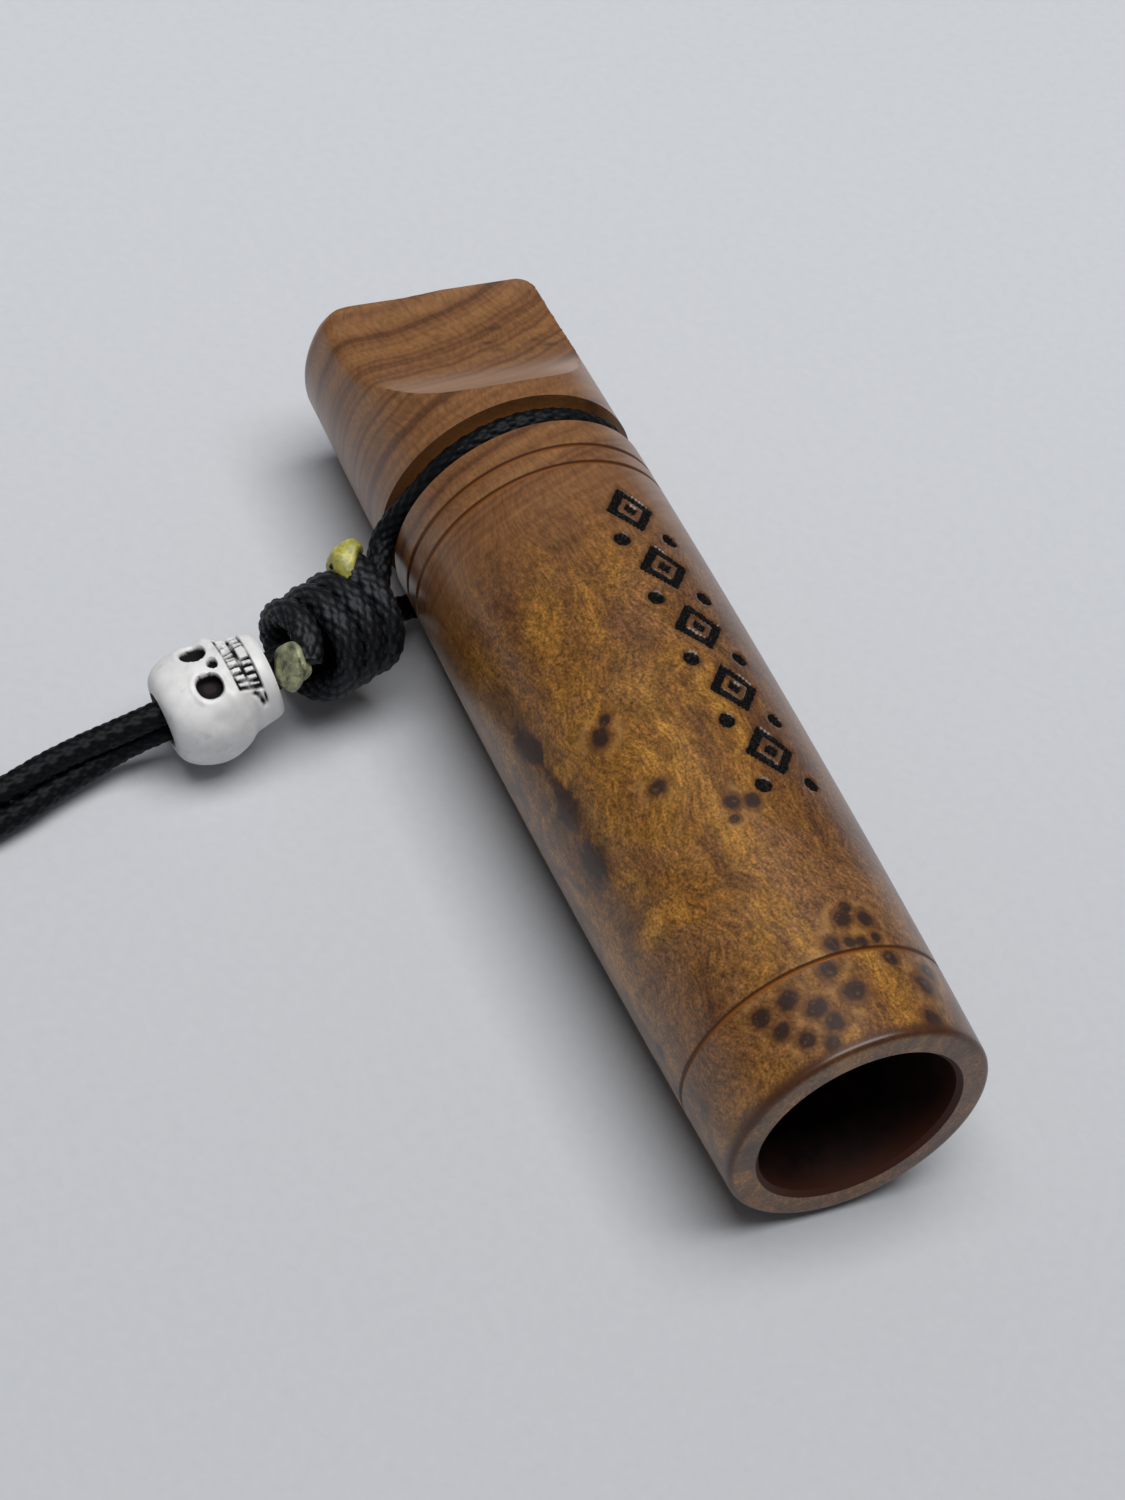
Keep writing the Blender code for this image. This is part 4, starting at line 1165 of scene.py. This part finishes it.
def skull_material():
    g = Graph("bead_white")
    stain = g.attribute("stain")
    clean = g.ramp(g.noise(0.45, 3.0, 0.6), (0.35, (0.70, 0.70, 0.70)), (0.65, (0.80, 0.80, 0.805)))
    smudge = g.span(g.noise(0.62, 2.0, 0.6, 0.5), 0.60, 0.74, 0.0, 0.22)
    clean = g.mix(smudge, clean, (0.30, 0.30, 0.31))
    grime = g.ragged(stain, g.noise(2.4, 3.0, 0.65), 0.62)
    tone = g.mix(g.span(grime, 0.14, 0.85), clean, (0.011, 0.010, 0.012))
    tone = g.mix(g.attribute("floor"), tone, (0.052, 0.038, 0.034))
    rough = g.span(stain, 0.3, 0.9, 0.38, 0.85)
    shine = g.span(stain, 0.3, 0.9, 0.5, 0.08)
    return g.finish(Base_Color=tone, Roughness=rough, Specular_IOR_Level=shine, Subsurface_Weight=0.1,
                    Subsurface_Radius=(1.0, 0.9, 0.8), Subsurface_Scale=0.7 * MM,
                    Normal=g.bump(g.noise(1.2, 2.0), 0.05, 0.2 * MM))


def humps(table, s, t):
    total = np.zeros_like(s)
    for amount, at_s, at_t, half_s, half_t in table:
        total += amount * np.exp(-(((s - at_s) / half_s) ** 2) - ((t - at_t) / half_t) ** 2)
    return total


def teeth(s, t):
    """Height from 0 to 1 of two uneven rows of teeth."""
    side = np.abs(s)
    best = np.zeros_like(s)
    for row, (start, end) in enumerate(MOUTH_ROWS):
        edges = TOOTH_EDGES[row]
        for k, (near, far) in enumerate(zip(edges, edges[1:])):
            slip = 0.07 * math.sin(5.1 * k + 2.3 * row)
            gap = TOOTH_GAP if k or not row else -1.0
            across = ease(near + gap - 0.05, near + gap + 0.06, side) * ease(far - 0.03, far - 0.14, side)
            root, tip = start + slip, end + slip
            along = ease(root - 0.07, root + 0.09, t) * ease(tip + 0.07, tip - 0.09, t)
            best = np.maximum(best, across * along * (0.82 + 0.18 * math.sin(7.7 * k + 3.1 * row)))
    return best


def sockets(s, t, face):
    """Depth, stain and floor of the eye sockets and the nose."""
    side = np.abs(s)
    across = np.abs((side - SOCKET_AT[0]) / SOCKET_HALF[0])
    along = np.abs((t - SOCKET_AT[1]) / SOCKET_HALF[1])
    eye = (across**SOCKET_POWER + along**SOCKET_POWER) ** (1 / SOCKET_POWER)
    wide = NOSE_HALF[0] * (1 + 0.22 * np.clip((t - NOSE_AT) / 0.6, -1, 1))
    nose = np.hypot(s / wide, (t - NOSE_AT) / NOSE_HALF[1])
    brow = np.exp(-(((eye - 1.3) / 0.22) ** 2)) * ease(5.2, 3.9, t)
    deep = SOCKET_DEPTH * ease(1.06, 0.80, eye) + NOSE_DEPTH * ease(1.12, 0.78, nose) - BROW_RISE * brow
    stain = 1.1 * ease(1.04, 0.90, eye) + ease(1.1, 0.84, nose)
    bottom = 0.42 * ease(0.66, 0.38, np.hypot(eye, 0.25 * (t - SOCKET_AT[1] - 0.3)))
    return deep * face, stain * face, bottom * face


def skull_features(s, t, face):
    """Depth cut into the skull, stain and socket floor, by place sideways and distance from the crown."""
    side = np.abs(s)
    deep, stain, bottom = sockets(s, t, face)
    top, low = MOUTH_ROWS[0][0], MOUTH_ROWS[1][1]
    room = ease(MOUTH_HALF + 0.14, MOUTH_HALF - 0.1, side)
    room = room * ease(top - 0.26, top, t) * ease(low + 0.24, low, t)
    tooth = teeth(s, t) * room
    wear = 0.76 + 0.24 * np.sin(2.9 * s + 0.7) * np.sin(2.3 * t + 1.1)
    corner = humps(MOUTH_CORNERS, side, t)
    mouth = room * (MOUTH_DEPTH - TOOTH_RISE * tooth) + CORNER_DEPTH * corner
    deep += (mouth + humps(FACE_HOLLOWS, side, t)) * face + humps(SIDE_HOLLOWS, side, t)
    mouth = room * (1 - tooth) ** 1.5 * wear + 0.8 * corner
    # Grey patches darken spots on the face and in the side hollows
    stain += (mouth + humps(FACE_GREY_PATCHES, side, t)) * face + humps(SIDE_GREY_PATCHES, side, t)
    return deep, np.clip(stain, 0, 1.2), np.clip(bottom, 0, 1)


def skull_bead():
    crown, crown_end, jaw_start, jaw = SKULL_ENDS
    t = np.concatenate([
        np.linspace(crown, crown_end, 6),
        np.linspace(crown_end, jaw_start, 170)[1:],
        np.linspace(jaw_start, jaw, 7)[1:],
    ])
    smooth = smooth_path(SKULL, 0.05)
    wide, front, back = (np.interp(t, smooth[:, 0], smooth[:, k])[:, None] for k in (1, 2, 3))
    a = np.linspace(0.0, 2 * math.pi, SKULL_SIDES, endpoint=False)[None]
    c = np.sign(np.cos(a)) * np.abs(np.cos(a)) ** (2 / SKULL_ROUND)
    d = np.sign(np.sin(a)) * np.abs(np.sin(a)) ** (2 / SKULL_ROUND)
    s, z = wide * c, np.where(d > 0, front, back) * d
    rows = t[:, None] + 0 * a
    deep, stain, brown = skull_features(s, rows, ease(0.2, 1.2, z))
    seam = SEAM_RISE * np.exp(-((z - SEAM_AT) / SEAM_HALF) ** 2) * (np.abs(s) > 2)
    size = np.hypot(s, z)
    s, z = s * (1 - (deep - seam) / size), z * (1 - (deep - seam) / size)
    bore_t = np.linspace(jaw, crown, 20)[:, None] + 0 * a
    bore_r = BEAD_HOLE_R / MM - 0.32 * ease(4.0, 0.0, bore_t)
    s = np.vstack([s, bore_r * np.cos(a) + 0 * bore_t])
    z = np.vstack([z, bore_r * np.sin(a) + 0 * bore_t])
    rows = np.vstack([rows, bore_t])
    local = np.stack([s, (jaw - rows) * BEAD_SHORT, z], -1) * MM
    data = grid_mesh("skull", local @ np.array(BEAD_TURN).T + JAW, wrap_rows=True)
    paint(data, "stain", np.vstack([stain, 0.12 + 0 * bore_t]).ravel())
    paint(data, "floor", np.vstack([brown, 0 * bore_t]).ravel())
    skull = piece("skull", data, skull_material(), smooth_angle=50)
    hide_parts("skull_bead")
    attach(skull, "bead")
    return skull


# Reed insert

def plastic(name, dark, pale, rough):
    g = Graph(name)
    tone = g.ramp(g.noise(0.8, 3.0), (0.35, dark), (0.65, pale))
    return g.finish(Base_Color=tone, Roughness=rough, Normal=g.bump(g.noise(3.0, 2.0), 0.1, 0.1 * MM))


def brass():
    g = Graph("reed_brass")
    rolled = g.noise(1.2, 3.0, 0.6, 0.0, g.stretched(0.06, 1.5, 1.5))
    tone = g.ramp(rolled, (0.35, (0.62, 0.43, 0.16)), (0.65, (0.80, 0.60, 0.28)))
    return g.finish(Base_Color=tone, Metallic=1.0, Roughness=g.ramp(rolled, (0.3, 0.22), (0.7, 0.36)))


def insert():
    rubber = plastic("seal_rubber", (0.012, 0.012, 0.012), (0.024, 0.024, 0.024), 0.65)
    finishes = {
        "reed_housing": plastic("insert_plastic", (0.016, 0.016, 0.017), (0.030, 0.030, 0.031), 0.45),
        "seal_ring_front": rubber,
        "seal_ring_rear": rubber,
        "tone_trough": plastic("tone_plastic", (0.66, 0.65, 0.60), (0.76, 0.75, 0.70), 0.35),
        "reed": brass(),
        "reed_wedge": plastic("wedge_rubber", (0.22, 0.14, 0.08), (0.33, 0.22, 0.13), 0.75),
    }
    for node, mat in finishes.items():
        data = NODES[node].data
        data.materials.clear()
        data.materials.append(mat)
        data.shade_smooth()
        data.set_sharp_from_angle(angle=math.radians(35))


camera()
floor()
light()
lanyard, route, wraps = cords()
tie = coil_tie()
melted_ends(wraps)
call_wood()
skull = skull_bead()
insert()
